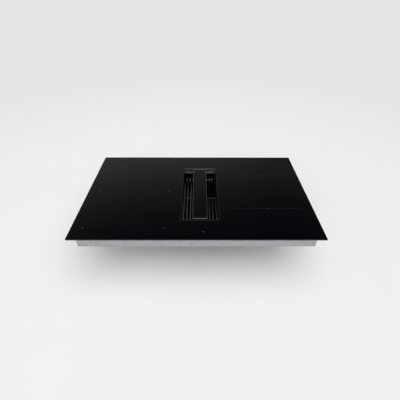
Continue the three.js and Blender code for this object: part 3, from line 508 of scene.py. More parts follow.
def screw_head(radius, rise):
    """Pan head with a six-lobed recess, standing on z = 0."""

    def ring(share, z, wave=0.0):
        reach = share * radius
        return round_ring(reach, z, HEAD.sides, wave * reach, HEAD.lobes)

    rings = [ring(HEAD.foot, -HEAD.sink)]
    for a in quarter(4):
        rings.append(ring(1 - HEAD.edge + HEAD.edge * cos(a), rise * sin(a)))
    rings += [ring(share, height * rise, wave) for share, height, wave in RECESS]
    return capped(rings)


# ---- sizes read from the model


class Box:
    """A node's box in millimetres."""

    def __init__(self, node):
        low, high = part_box(node)
        self.low = [c / MM for c in low]
        self.high = [c / MM for c in high]
        self.middle = [(a + b) / 2 for a, b in zip(self.low, self.high)]
        self.size = [b - a for a, b in zip(self.low, self.high)]


def within(box, axis, inset):
    """The two places on an axis, an inset inside the ends of a box."""
    return box.low[axis] + inset, box.high[axis] - inset


SLOT_OF = {part["node"]: part["material_slot"] for part in frame["record"]["subparts"]}
GLASS_BOX = Box("glass_top")
COLLAR_BOX = Box("vent_collar")
COVER_BOX = Box("cover_frame")
FILTER_BOX = Box("filter_frame")
TRAY_BOX = Box("coil_tray")
FLOOR_BOX = Box("tray_floor")
CASE_BOX = Box("blower_case")
SPIGOT_BOX = Box("outlet_spigot")
TERMINAL_BOX = Box("terminal_box")
WHEEL_BOX = Box("impeller")


# ---- glass and its marks

COLLAR = Sizes(
    flange=10.0, wall=1.5, corner=4.0, play=0.5, soft=1.3, crisp=0.12, fold=0.6, foot=0.5,
    ledge=8.0,
)
VENT_MIDDLE = COLLAR_BOX.middle[:2]
VENT_SIZE = [side - 2 * (COLLAR.flange + COLLAR.wall) for side in COLLAR_BOX.size[:2]]
GLASS = Sizes(corner=3.0, arris=0.7, under_arris=0.8, print=0.05)


def glass_top():
    """Sheet with rounded edges and the vent's opening through it."""
    bottom, top = GLASS_BOX.low[2], SURFACE - GLASS.print
    arris, under = GLASS.arris, GLASS.under_arris
    rim = outline(GLASS_BOX.size, GLASS.corner, (0, 0))
    gap = COLLAR.wall + COLLAR.play
    hole_size = [side + 2 * gap for side in VENT_SIZE]
    hole = outline(hole_size, COLLAR.corner, VENT_MIDDLE)
    rings = [rim(under, bottom), rim(0, bottom + under)]
    for a in quarter(4):
        rings.append(rim(arris * (1 - cos(a)), top - arris * (1 - sin(a))))
    for a in quarter(4):
        fall = arris / 2 * (1 - cos(a))
        rings.append(hole(-arris / 2 * (1 - sin(a)), top - fall))
    rings.append(hole(0, bottom))
    make_piece("hob_glass", bridge(rings), "hob", "glass_top")


MARK_HEIGHTS = (SURFACE - 2 * GLASS.print, SURFACE)
# Printed marks; each line on the right is its y, left end, right end and middle.
MARKS = Sizes(
    left_x=(-376.0, -107.0), left_y=(-204.0, 1.5, 212.5), dot=2.1,
    right=((-104.5, 133.0, 376.0, 253.0), (106.0, 157.0, 372.0, 250.0)), line=0.8, cross=5.0,
    cross_line=1.6, touch=(21.0, -223.5), touch_size=4.5, touch_gap=(0.6, 0.3), touch_line=1.12,
    sides=20,
)


def mark_disc(x, y, radius):
    return capped([round_ring(radius, z, MARKS.sides, x=x, y=y) for z in MARK_HEIGHTS])


def mark_bar(x0, y0, x1, y1, width):
    """Thin printed line from one point to another."""
    length = hypot(x1 - x0, y1 - y0)
    dx, dy = (y0 - y1) / length * width / 2, (x1 - x0) / length * width / 2
    corners = [(x0 - dx, y0 - dy), (x1 - dx, y1 - dy), (x1 + dx, y1 + dy), (x0 + dx, y0 + dy)]
    return capped([[(x, y, z) for x, y in corners] for z in MARK_HEIGHTS])


def print_marks(name, parts, look):
    make_piece(name, merge(parts), "hob", look=look, slot="glass", weighted=False)


def zone_marks():
    """Dots of the left zones, and lines of the right zones with a cross in their middle."""
    line, bold, cross = MARKS.line, MARKS.cross_line, MARKS.cross
    reach = cross / 2
    marks = [mark_disc(x, y, MARKS.dot) for x in MARKS.left_x for y in MARKS.left_y]
    lines = []
    for y, left, right, middle in MARKS.right:
        marks.append(mark_bar(middle - reach, y, middle + reach, y, bold))
        marks.append(mark_bar(middle, y - reach, middle, y - line, bold))
        marks.append(mark_bar(middle, y + line, middle, y + reach, bold))
        lines.append(mark_bar(left, y, middle - cross, y, line))
        lines.append(mark_bar(middle + cross, y, right, y, line))
    print_marks("zone_marks", marks, "print")
    print_marks("zone_lines", lines, "line")


def touch_mark():
    """Tick of two strokes in the touch field."""
    (x, y), size, width = MARKS.touch, MARKS.touch_size, MARKS.touch_line
    gap_x, gap_y = MARKS.touch_gap
    left = mark_bar(x - size, y + size, x, y, width)
    right = mark_bar(x + gap_x, y + gap_y, x + size, y + size, width)
    print_marks("touch_mark", [left, right], "print")


# ---- collar, cover and filter


def vent_collar():
    """Rim on the glass, walls of the well, flange under the glass and a ledge at both ends."""
    top, bottom, under = COLLAR_BOX.high[2], COLLAR_BOX.low[2], GLASS_BOX.low[2]
    wall, soft, crisp, fold = COLLAR.wall, COLLAR.soft, COLLAR.crisp, COLLAR.fold
    foot, ledge, flange = COLLAR.foot, COLLAR.ledge, wall + COLLAR.flange
    flange_low, ledge_top = under - wall, bottom + wall
    # how far outside the well's wall, height, how much shorter
    profile = [
        *[(soft * (1 - cos(a)), top - soft * (1 - sin(a))) for a in quarter(6)],
        (wall - crisp, top), (wall, top - crisp), (wall, under + fold),
        (wall + fold / 3, under + fold / 3), (wall + fold, under), (flange, under),
        (flange, flange_low), (wall + fold, flange_low), (wall, flange_low - fold),
        (wall, bottom + foot), (wall - foot, bottom), (0, bottom, ledge),
        (0, ledge_top, ledge), (0, ledge_top, fold), (0, ledge_top + fold),
    ]
    ring = outline(VENT_SIZE, COLLAR.corner, VENT_MIDDLE)
    rings = [ring(-grow, z, *shorter) for grow, z, *shorter in reversed(profile)]
    # the collar's rim carries a painted highlight along its back end
    make_piece("collar", bridge(rings), "hob", "vent_collar", "rim")


COVER = Sizes(
    rim=1.2, play=0.2, corner=4.0, shelf=5.0, glass=4.0, glass_drop=0.2, arris=0.4, sheet=1.2,
    soft=0.3, outer=0.5, skirt=8.0, margin=1.0, tab_drop=14.7, tab_gap=1.0, web_gap=0.1,
    stem_drop=31.7, stem_sink=0.8,
)
# Blocks under the cover: width, length, rounding of the upright edges and of the ends.
TAB, WEB, STEM = (36.0, 5.0, 1.2, 0.5), (50.8, 4.0, 0.5, 0.4), (20.0, 4.0, 1.5, 0.6)
COVER_RING = outline(COVER_BOX.size, COVER.corner, COVER_BOX.middle, 0.4, 8)
COVER_GLASS_TOP = SURFACE - COVER.glass_drop
COVER_SHELF = COVER_GLASS_TOP - COVER.glass


def cover_glass():
    """Glass strip with small arrises."""
    inset, arris = COVER.rim + COVER.play, COVER.arris
    bottom, top, near = COVER_SHELF, COVER_GLASS_TOP, MIDWAY * arris
    profile = (
        (inset + arris, bottom), (inset, bottom + arris), (inset, top - arris),
        (inset + near, top - near), (inset + arris, top), (inset + arris + COVER.margin, top),
    )
    rings = [COVER_RING(*place) for place in profile]
    make_piece("lid_glass", capped(rings), "cover", "cover_glass")


def cover_frame():
    """Rim with a shelf for the glass, a tab at each end, and a web with a stem in the middle."""
    top, skirt, shelf_low = SURFACE, SURFACE - COVER.skirt, COVER_SHELF - COVER.sheet
    rim, shelf, soft, outer = COVER.rim, COVER.shelf, COVER.soft, COVER.outer
    profile = [
        (rim, COVER_SHELF), (rim, top - soft), (rim - soft * 0.4, top - soft * 0.2),
        (rim - soft, top),
        *[(outer * (1 - sin(a)), top - outer * (1 - cos(a))) for a in quarter(4)],
        (0, skirt + soft), (soft * 0.4, skirt), (rim - soft * 0.4, skirt), (rim, skirt + soft),
        (rim, shelf_low - soft), (rim + soft, shelf_low), (shelf, shelf_low),
        (shelf + COVER.play, (shelf_low + COVER_SHELF) / 2), (shelf, COVER_SHELF),
    ]
    parts = [bridge([COVER_RING(*place) for place in reversed(profile)])]
    middle = (COVER_BOX.middle[0], VENT_MIDDLE[1])
    for y in within(COVER_BOX, 1, rim + TAB[1] / 2):
        foot, head = SURFACE - COVER.tab_drop, COVER_SHELF - COVER.tab_gap
        parts.append(soft_block((middle[0], y), TAB, foot, head))
    parts.append(soft_block(middle, WEB, skirt, COVER_SHELF - COVER.web_gap))
    parts.append(soft_block(middle, STEM, SURFACE - COVER.stem_drop, skirt + COVER.stem_sink))
    make_piece("lid_frame", merge(parts), "cover", "cover_frame")


FILTER = Sizes(
    wall=1.2, shelf=8.0, lip=5.0, corner=2.0, bend=0.6, crisp=0.25, step=0.05, base_bend=0.3,
    base_crisp=0.2, bar_soft=(0.3, 0.35),
)
FILTER_RING = outline(FILTER_BOX.size, FILTER.corner, VENT_MIDDLE, 0.3, 4)


def filter_box():
    """Folded sheet with a rounded upper edge and a shelf at each end."""
    low, high = FILTER_BOX.low[2], FILTER_BOX.high[2]
    wall, bend, crisp = FILTER.wall, FILTER.bend, FILTER.crisp
    shelf = FILTER.shelf - wall
    near = MIDWAY * bend
    profile = (
        (0, low), (0, high - bend), (near, high - near), (bend, high),
        (wall - crisp, high, shelf), (wall, high - crisp, shelf),
        (wall, high - wall, shelf), (wall, high - wall - FILTER.step), (wall, low),
    )
    part = bridge([FILTER_RING(*place) for place in profile])
    # the filter box's upper edge carries a painted highlight along its back end
    make_piece("filter_box", part, "filter", "filter_frame", "shelf")


def filter_base():
    """Flat ring on which the screen lies."""
    box = Box("filter_base")
    low, high = box.low[2], box.high[2]
    lip, bend, crisp = FILTER.lip, FILTER.base_bend, FILTER.base_crisp
    profile = (
        (bend, low), (0, low + bend), (0, high), (lip - crisp, high), (lip, high - crisp),
        (lip, low + crisp), (lip - crisp, low),
    )
    part = bridge([FILTER_RING(*place) for place in profile])
    make_piece("filter_floor_ring", part, "filter", "filter_base")


def filter_crossbar():
    box = Box("filter_crossbar")
    block = (*box.size[:2], *FILTER.bar_soft)
    bar = soft_block(box.middle, block, box.low[2], box.high[2])
    make_piece("filter_bridge", bar, "filter", "filter_crossbar", "bar")


VANE = Sizes(
    first=9.5, pitch=12.7, count=5, thick=1.2, hem=1.2, lift=1.0, comb=1.2, comb_drop=40.0,
    comb_soft=(0.4, 0.3),
)
RIVET = Sizes(radius=2.9, rise=2.1, tip=0.06, sides=14, drops=(49.5, 60.0))


def vane_section(x, low, high, steps=12):
    """Upright sheet with a rolled hem, as (x, z) points."""
    half, hem = VANE.thick / 2, VANE.hem
    start = -pi / 2 + asin(half / hem)
    turns = [start + (pi - 2 * start) * i / steps for i in range(steps + 1)]
    roll = [(x + hem * cos(a), high - hem + hem * sin(a)) for a in turns]
    return [(x - half, low), (x + half, low), *roll]


def vanes(side, side_name):
    """Baffles of one side between two comb plates."""
    node = f"vanes_{side_name}"
    box = Box(node)
    ends = within(box, 1, VANE.comb / 2)
    parts = []
    for i in range(VANE.count):
        x = VENT_MIDDLE[0] + side * (VANE.first + i * VANE.pitch)
        section = vane_section(x, box.low[2] + VANE.lift, box.high[2])
        parts.append(capped([[(x, y, z) for x, z in section] for y in reversed(ends)]))
    for y in ends:
        block, top = (box.size[0], VANE.comb, *VANE.comb_soft), SURFACE - VANE.comb_drop
        parts.append(soft_block((box.middle[0], y), block, box.low[2], top))
    # painted highlight on the hems, bright at the front and fading towards the back; on the right
    # pack it is dimmer and ends further forward, as painted shade
    look = "hem" if side < 0 else "hem_right"
    make_piece(f"vane_pack_{side_name}", merge(parts), "filter", node, look)


def rivet_head():
    """Domed head, standing on z = 0."""
    radius, rise = RIVET.radius, RIVET.rise
    profile = [(radius * HEAD.foot, -HEAD.sink)]
    profile += [(radius * cos(a), rise * sin(a)) for a in quarter(5)[:-1]]
    profile.append((radius * RIVET.tip, rise))
    return capped(turned(profile, sides=RIVET.sides))


def comb_rivets():
    """Two rows of rivets on the rear comb plates, between the baffles."""
    inner = Box("vanes_left").high[1] - VANE.comb
    head = rivet_head()
    gaps = [VANE.first + (i + 0.5) * VANE.pitch for i in range(VANE.count - 1)]
    xs = [VENT_MIDDLE[0] + side * gap for side in (-1, 1) for gap in gaps]
    heads = [placed(head, (x, inner, SURFACE - drop), FRONT) for x in xs for drop in RIVET.drops]
    make_piece("comb_rivets", merge(heads), "filter", look="rivet", slot="trim")


MESH = Sizes(columns=12, rows=38, strand=0.9, edge=4.4)


def filter_mesh():
    """Expanded metal: rows of diamond holes within a plain edge."""
    box, edge = Box("filter_mesh"), MESH.edge
    columns, rows = MESH.columns, MESH.rows
    low_x, low_y, low_z = box.low
    high_x, high_y, high_z = box.high
    half_x, half_y = (box.size[0] - 2 * edge) / columns / 2, (box.size[1] - 2 * edge) / rows / 2
    hole_x, hole_y = half_x - MESH.strand, half_y - MESH.strand
    bm = bmesh.new()

    def face(points):
        bm.faces.new([bm.verts.new([c * MM for c in point]) for point in points])

    def wall(a, b):
        face([(*a, low_z), (*b, low_z), (*b, high_z), (*a, high_z)])

    def both(points):
        face([(*point, high_z) for point in points])
        face([(*point, low_z) for point in reversed(points)])

    def cell(x, y):
        """Four faces round a diamond hole, with its walls."""
        signs = ((1, 0), (0, 1), (-1, 0), (0, -1))
        tips = [(x + a * hole_x, y + b * hole_y) for a, b in signs]
        sides = [(x + a * half_x, y + b * half_y) for a, b in signs]
        for i, (a, b) in enumerate(((1, 1), (-1, 1), (-1, -1), (1, -1))):
            k = (i + 1) % 4
            both([sides[i], (x + a * half_x, y + b * half_y), sides[k], tips[k], tips[i]])
            wall(tips[k], tips[i])

    # the edge is split where the cells meet it
    xs = [low_x, *(low_x + edge + i * half_x for i in range(2 * columns + 1)), high_x]
    ys = [low_y, *(low_y + edge + i * half_y for i in range(2 * rows + 1)), high_y]
    for x, y in product(xs[2:-1:2], ys[2:-1:2]):
        cell(x, y)
    spans_x, spans_y = list(zip(xs, xs[1:])), list(zip(ys, ys[1:]))
    for (a, b), (c, d) in product(spans_x, spans_y):
        if a == low_x or b == high_x or c == low_y or d == high_y:
            both([(a, c), (b, c), (b, d), (a, d)])
    for a, b in spans_x:
        wall((b, high_y), (a, high_y))
        wall((a, low_y), (b, low_y))
    for a, b in spans_y:
        wall((high_x, a), (high_x, b))
        wall((low_x, b), (low_x, a))
    bmesh.ops.remove_doubles(bm, verts=bm.verts, dist=0.01 * MM)
    mesh = bpy.data.meshes.new("filter_screen")
    bm.to_mesh(mesh)
    bm.free()
    finish_mesh("filter_screen", mesh, "filter", "filter_mesh", sharp=20.0)


# ---- softened copies of plain nodes

# Node, the piece that stands for it, its body, and the width of its softened edges in mm.
HOUSINGS = (
    ("coil_tray", "tray_walls", "hob", 0.25),
    ("tray_floor", "tray_sheet", "hob", 0.25),
    ("blower_case", "case_sheet", "hob", 0.3),
    ("plenum", "plenum_duct", "hob", 0.7),
    ("catch_tray", "grease_trough", "catch_tray", 0.6),
    ("terminal_box", "terminal_housing", "hob", 0.9),
    *(
        (f"mounting_clamp_{place}", f"spring_clamp_{place}", "hob", 0.3)
        for place in ("front_left", "front_right", "rear_left", "rear_right")
    ),
)
SAME_PLANE, SHARP_EDGE = radians(0.5), radians(30.0)


def soften(node, name, body, width):
    """A copy of a node with its sharp edges rounded, which stands for it."""
    bm = bmesh.new()
    bm.from_mesh(frame["nodes"][node].data)
    bmesh.ops.remove_doubles(bm, verts=bm.verts, dist=0.01 * MM)
    bmesh.ops.dissolve_limit(
        bm, angle_limit=SAME_PLANE, verts=bm.verts, edges=bm.edges, delimit={"NORMAL"}
    )
    paired = [edge for edge in bm.edges if len(edge.link_faces) == 2]
    sharp = [edge for edge in paired if edge.calc_face_angle(0) > SHARP_EDGE]
    kind = {"offset_type": "OFFSET", "affect": "EDGES", "clamp_overlap": True}
    bmesh.ops.bevel(bm, geom=sharp, offset=width * MM, segments=2, profile=0.5, **kind)
    mesh = bpy.data.meshes.new(name)
    bm.to_mesh(mesh)
    bm.free()
    finish_mesh(name, mesh, body, node)


# ---- sheet details and fasteners

CASE_FLANGE = 10.0  # at its sides and front
CASE_SHEET = 1.2
BEAD = Sizes(
    width=11.0, rise=1.8, sink=0.2, rounding=0.48, slope=0.9, margin=22.0, start=10.0, rows=6,
    run=0.78, short_run=0.3, levels=(0.3, 0.62),
)


def bead(length, place, out, along):
    """Long low bead with rounded ends."""
    width, steps = BEAD.width, 4

    def ring(inset, z):
        radius = BEAD.rounding * width * (1 - 2 * inset / width)
        return rounded_ring(length - 2 * inset, width - 2 * inset, radius, 0, 0, z, steps)

    rings = [ring(0, -BEAD.sink)]
    for a in quarter(steps):
        rings.append(ring(BEAD.slope * width / 2 * (1 - cos(a)), BEAD.rise * sin(a)))
    return placed(capped(rings), place, out, along)


def tray_beads():
    """Stiffening beads in the tray's floor, beside the blower case."""
    margin, rows = BEAD.margin, BEAD.rows
    front = FLOOR_BOX.low[1] + margin + BEAD.start
    parts = []
    for near, far, back in (
        (CASE_BOX.low[0] - margin, FLOOR_BOX.low[0] + margin, TERMINAL_BOX.low[1] - margin),
        (CASE_BOX.high[0] + margin, FLOOR_BOX.high[0] - margin, FLOOR_BOX.high[1] - margin),
    ):
        for i in range(rows):
            place = ((near + far) / 2, front + (back - front) * i / (rows - 1), FLOOR_BOX.low[2])
            parts.append(bead(abs(far - near), place, DOWN, RIGHT))
    make_piece("tray_beads", merge(parts), "hob", slot="zinc")


def case_beads():
    """Stiffening beads in the walls of the blower case."""
    left, right = within(CASE_BOX, 0, CASE_FLANGE)
    front, back, top = CASE_BOX.low[1] + CASE_FLANGE, CASE_BOX.high[1], CASE_BOX.high[2]
    middle_x, middle_y = (left + right) / 2, (front + back) / 2
    run_x, run_y = BEAD.run * (right - left), BEAD.run * (back - front)
    low, high = (level * top for level in BEAD.levels)
    over_duct = (SPIGOT_BOX.high[2] + top) / 2
    beside_duct = (left + SPIGOT_BOX.low[0]) / 2
    parts = [bead(run_x, (middle_x, front, low), FRONT, RIGHT)]
    for z in (low, high):
        parts.append(bead(run_y, (left, middle_y, z), LEFT, BACK))
        parts.append(bead(run_y, (right, middle_y, z), RIGHT, BACK))
    parts.append(bead(run_x, (middle_x, back, over_duct), BACK, RIGHT))
    parts.append(bead(BEAD.short_run * run_x, (beside_duct, back, low), BACK, RIGHT))
    make_piece("case_beads", merge(parts), "hob", slot="zinc")


# Heads of the fasteners: radius and rise.
CASE_SCREW, SPIGOT_SCREW, TRAY_SCREW, CORNER_RIVET = (3.6, 2.0), (2.8, 1.6), (3.2, 1.8), (2.4, 1.2)
SPIGOT_INSET, TERMINAL_INSET, TRAY_INSET = 5.0, 9.0, 9.0  # of the screws from the edges
CASE_SCREW_X = (25.0, 85.0)  # from either end
CASE_SCREW_Y = (-30.0, 55.0, 140.0, 222.0)
TRAY_SCREW_X = (-250.0, -110.0, 110.0, 250.0)
TRAY_SCREW_Y = (-225.0, -75.0, 75.0, 225.0)
RIVET_X, RIVET_Y, RIVET_Z = (-386.0, 386.0), (-228.0, 228.0), (170.0, 196.0)


def fasteners(name, places, out, head):
    along = BACK if out in (LEFT, RIGHT) else RIGHT
    heads = [placed(screw_head(*head), place, out, along) for place in places]
    make_piece(name, merge(heads), "hob", look="steel", slot="zinc")


def case_screws():
    """Screws from below through the case's flange."""
    inset, under = CASE_FLANGE / 2, [CASE_BOX.high[2] - CASE_SHEET]
    left, right = within(CASE_BOX, 0, inset)
    near, far = CASE_SCREW_X
    xs = (left + near, left + far, right - far, right - near)
    places = [*product(xs, [CASE_BOX.low[1] + inset], under)]
    places += product((left, right), CASE_SCREW_Y, under)
    fasteners("case_screws", places, DOWN, CASE_SCREW)


def spigot_screws():
    """Screws round the duct, in the spigot's flange."""
    left, right = within(SPIGOT_BOX, 0, SPIGOT_INSET)
    xs, face = (left, SPIGOT_BOX.middle[0], right), [SPIGOT_BOX.low[1] + SPIGOT.thick]
    places = product(xs, face, within(SPIGOT_BOX, 2, SPIGOT_INSET))
    fasteners("spigot_screws", places, BACK, SPIGOT_SCREW)


def terminal_screws():
    """Screws under the terminal box."""
    xs, ys = (within(TERMINAL_BOX, axis, TERMINAL_INSET) for axis in (0, 1))
    fasteners("terminal_screws", product(xs, ys, [TERMINAL_BOX.low[2]]), DOWN, TRAY_SCREW)


def tray_screws():
    """Screws along three edges of the tray's floor."""
    face = [FLOOR_BOX.low[2]]
    places = [*product(within(FLOOR_BOX, 0, TRAY_INSET), TRAY_SCREW_Y, face)]
    places += product(TRAY_SCREW_X, [FLOOR_BOX.low[1] + TRAY_INSET], face)
    fasteners("tray_screws", places, DOWN, TRAY_SCREW)


def corner_rivets():
    """Rivets through the tray's corner laps."""
    for name, xs, ys, out in (
        ("left", [TRAY_BOX.low[0]], RIVET_Y, LEFT),
        ("right", [TRAY_BOX.high[0]], RIVET_Y, RIGHT),
        ("front", RIVET_X, [TRAY_BOX.low[1]], FRONT),
        ("back", RIVET_X, [TRAY_BOX.high[1]], BACK),
    ):
        fasteners(f"corner_rivets_{name}", product(xs, ys, RIVET_Z), out, CORNER_RIVET)


FOAM = Sizes(corner=4.0, least=1.0, soft=0.7)
FOAM_STRIPS = (("perimeter_foam", "edge_seal", 10.0), ("collar_foam", "collar_seal", 8.0))


def foam_strip(name, node, strip):
    """Foam tape round an edge, its lower corners rounded."""
    box, soft = Box(node), FOAM.soft
    low, high, near = box.low[2], box.high[2], MIDWAY * soft
    ring = outline(box.size, FOAM.corner, box.middle, FOAM.least)
    profile = (
        (0, high), (0, low + soft), (near, low + near), (soft, low), (strip - soft, low),
        (strip - near, low + near), (strip, low + soft), (strip, high),
    )
    make_piece(name, bridge([ring(*place) for place in profile]), "hob", node)


SPIGOT = Sizes(
    tube=(150.0, 70.0), bore=(145.0, 65.0), flange=(170.0, 90.0), corner=5.0, thick=2.0, edge=0.5,
    fillet=1.6, mouth=0.8, lead=1.0, bead=0.9, bead_ends=(6.0, 9.0), bead_slope=0.8,
)


def outlet_spigot():
    """Flanged socket for a flat duct, with a fillet and a bead near its mouth."""
    tube, bore, flange = SPIGOT.tube, SPIGOT.bore, SPIGOT.flange
    face, edge, fillet = SPIGOT.thick, SPIGOT.edge, SPIGOT.fillet
    rise, slope, mouth, end = SPIGOT.bead, SPIGOT.bead_slope, SPIGOT.mouth, SPIGOT_BOX.size[1]
    near, far = (face + along for along in SPIGOT.bead_ends)
    # outline, how far it is widened, distance from the back of the case
    profile = (
        (bore, 0, 0), (flange, -edge, 0), (flange, 0, edge), (flange, 0, face - edge),
        (flange, -edge, face), (tube, fillet, face), (tube, edge, face + edge),
        (tube, 0, face + fillet), (tube, 0, near), (tube, rise, near + slope),
        (tube, rise, far - slope), (tube, 0, far), (tube, 0, end - SPIGOT.lead),
        (tube, -mouth, end), (bore, mouth, end), (bore, 0, end - mouth),
    )
    corner = SPIGOT.corner
    rings = [outline(size, corner, (0, 0))(-grow, depth) for size, grow, depth in profile]
    x, _, z = SPIGOT_BOX.middle
    part = placed(bridge(rings), (x, SPIGOT_BOX.low[1], z), BACK)
    make_piece("duct_spigot", part, "hob", "outlet_spigot")


GLAND = Sizes(sleeve=8.5, bore=5.0, waist=0.4, ribs=16, sides=96, bevel=(0.7, 0.6), lip=(0.4, 0.5))
# Nut: how far inside the sleeve, distance past the body or to the mouth, height of the ribs.
NUT_START = ((0.4, -0.3, 0), (0.4, 1.0, 0), (0.3, 1.4, 0.3))
NUT_END = ((0.3, 4.0, 0.3), (0.8, 2.6, 0), (1.4, 0.8, 0), (2.2, 0, 0))


def cable_gland():
    """Hexagonal body, and a ribbed nut with a rounded mouth."""
    box = Box("cable_gland")
    length, corner = box.size[1], box.size[2] / 2
    waist, sleeve, bore = GLAND.waist * length, GLAND.sleeve, GLAND.bore
    (draw, bevel), (lip, depth) = GLAND.bevel, GLAND.lip
    flats = ((corner - draw, 0), (corner, bevel), (corner, waist - bevel), (corner - draw, waist))
    body = capped([round_ring(*place, 6, start=pi / 6) for place in flats])
    profile = [
        (bore, waist + NUT_START[0][1], 0),
        *[(sleeve - inset, waist + past, rib) for inset, past, rib in NUT_START],
        *[(sleeve - inset, length - left, rib) for inset, left, rib in NUT_END],
        (bore + lip, length, 0), (bore, length - depth, 0),
    ]
    sides, ribs = GLAND.sides, GLAND.ribs
    nut = bridge([round_ring(radius, z, sides, rib, ribs) for radius, z, rib in profile])
    part = placed(merge([body, nut]), (box.middle[0], box.low[1], box.middle[2]), BACK)
    make_piece("gland", part, "hob", "cable_gland", slot="grey")


# ---- blower, seen down the well

WHEEL_MIDDLE = WHEEL_BOX.middle[:2]
WHEEL = Sizes(
    radius=WHEEL_BOX.size[0] / 2, blades=13, inner=52.0, lean=radians(46), blade=1.6, bore=4.3,
    boss=10.0, crown=16.0, ring=22.0, wall=2.0, edge=0.4, ring_edge=0.5, sink=1.0,
)
# Domed back plate, outwards and back underneath: radii with depths below the crown or heights
# above the wheel's underside.
CROWN_TOP = ((37.0, 0.0), (40.5, 0.8), (42.6, 2.6), (43.6, 5.0))
FOOT_TOP = ((47.4, 6.0), (48.6, 3.4), (51.5, 2.0))
FOOT_UNDER = ((49.5, 0.0), (46.6, 2.0))
CROWN_UNDER = ((41.4, 5.4), (39.6, 2.8), (36.5, 2.0))


def wheel_blade(low, high, steps=12):
    """One backward-curved blade between two heights."""
    inner, half = WHEEL.inner, WHEEL.blade / 2
    outer = WHEEL.radius - WHEEL.blade

    def point(offset, share):
        r = inner + (outer - inner) * share
        angle = -WHEEL.lean * sqrt(share) + offset / r
        return r * cos(angle), r * sin(angle)

    shares = [i / steps for i in range(steps + 1)]
    section = [point(-half, share) for share in shares]
    section += [point(half, share) for share in reversed(shares)]
    return capped([[(x, y, z) for x, y in section] for z in (low, high)])


def wheel_hub(low, high):
    """Profile of the domed back plate, as (radius, z) points."""
    radius, edge = WHEEL.radius, WHEEL.edge
    crown, plate = high - WHEEL.crown, low + WHEEL.wall
    under, seat = crown - WHEEL.wall, crown - 2 * WHEEL.wall
    return [
        (WHEEL.bore, crown),
        *[(r, crown - depth) for r, depth in CROWN_TOP],
        *[(r, low + height) for r, height in FOOT_TOP],
        (radius - edge, plate), (radius, plate - edge), (radius, low + edge), (radius - edge, low),
        *[(r, low + height) for r, height in FOOT_UNDER],
        *[(r, crown - depth) for r, depth in CROWN_UNDER],
        (WHEEL.boss, under), (WHEEL.boss, seat), (WHEEL.bore, seat),
    ]


def wheel_shroud(high):
    """Profile of the ring over the blades, as (radius, z) points."""
    outer, inner = WHEEL.radius, WHEEL.radius - WHEEL.ring
    low, edge = high - WHEEL.wall, WHEEL.ring_edge
    return [
        (inner, high - edge), (inner + edge, high), (outer - edge, high), (outer, high - edge),
        (outer, low + edge), (outer - edge, low), (inner + edge, low), (inner, low + edge),
    ]


def blower_wheel():
    low, high = WHEEL_BOX.low[2], WHEEL_BOX.high[2]
    parts = [bridge(turned(profile)) for profile in (wheel_hub(low, high), wheel_shroud(high))]
    blade = wheel_blade(low + WHEEL.sink, high - WHEEL.sink)
    for i in range(WHEEL.blades):
        angle = 2 * pi * i / WHEEL.blades
        parts.append(placed(blade, (0, 0, 0), along=(cos(angle), sin(angle), 0)))
    part = placed(merge(parts), (*WHEEL_MIDDLE, 0))
    make_piece("wheel", part, "blower_wheel", "impeller", weighted=False)


BELL = Sizes(
    rim=68.0, inside=60.0, outside=62.0, flare=1.4, mouth=4.5, seat=5.0, sheet=1.2, edge=0.4,
    fold=0.5,
)


def inlet_bell():
    """Bell-mouthed ring with a rolled lip."""
    box = Box("inlet_ring")
    low, high = box.low[2], box.high[2]
    rim, inside, outside, flare = BELL.rim, BELL.inside, BELL.outside, BELL.flare
    mouth, seat, edge, fold = high - BELL.mouth, high - BELL.seat, BELL.edge, BELL.fold
    flange = seat + BELL.sheet
    flares = [(1 - cos(a), sin(a)) for a in quarter(6)]
    profile = [
        *[(inside + flare * widen, mouth + (high - mouth) * rise) for widen, rise in flares],
        (outside, high - edge), (outside, flange + edge), (outside + fold, flange),
        (rim - edge, flange), (rim, flange - edge), (rim, seat), (outside, seat),
        (outside, low + edge), (outside - fold, low), (inside + fold, low), (inside, low + edge),
    ]
    part = bridge(turned(profile, *WHEEL_MIDDLE))
    make_piece("inlet_bell", part, "hob", "inlet_ring")


def dress_nodes():
    """Gives every node of the model the material of its slot."""
    for name, node in frame["nodes"].items():
        node.data.materials.clear()
        node.data.materials.append(MATERIALS[SLOT_OF[name]])


# ---- floor, world and lamp

FLOOR = Sizes(reach=14.0, color=(0.78, 0.78, 0.785), grain=0.985, fade=(0.7, 2.4))
BACKDROP = (*FLOOR.color, 1.0)  # what the camera sees above the floor


def far_glow(s):
    """Shows the far floor in one even pale tone to the camera, to metal and to glass."""
    distance = s.result("VectorMath", "LENGTH", s.stretched((1.0, 1.0, 0.0)))
    share = s.remap(distance, 0.0, 1.0, *FLOOR.fade)
    path = s.node("LightPath").outputs
    seen = path["Is Camera Ray"]
    for other in ("Is Glossy Ray", "Is Transmission Ray"):
        seen = s.result("Math", "MAXIMUM", seen, path[other])
    glow = s.node("Emission", Color=BACKDROP)
    mix = s.node("MixShader", Fac=s.result("Math", "MULTIPLY", share, seen))
    s.put(s.bsdf.outputs["BSDF"], mix.inputs[1])
    s.put(glow.outputs["Emission"], mix.inputs[2])
    s.put(mix.outputs["Shader"], s.tree.nodes["Material Output"].inputs["Surface"])


def floor_paint():
    s = Shader("floor_paint", Roughness=0.9, Specular_IOR_Level=0.1)
    grain = s.noise(3.0, 4.0)
    low = [FLOOR.grain * c for c in FLOOR.color]
    far_glow(s)
    return s.finish(s.tint(grain, (low, FLOOR.color)), grain)


def make_floor():
    mesh = bpy.data.meshes.new("floor")
    reach = FLOOR.reach
    corners = [(x * reach, y * reach, 0) for x, y in ((-1, -1), (1, -1), (1, 1), (-1, 1))]
    mesh.from_pydata(corners, [], [(0, 1, 2, 3)])
    mesh.materials.append(floor_paint())
    floor = bpy.data.objects.new("floor", mesh)
    link(floor)


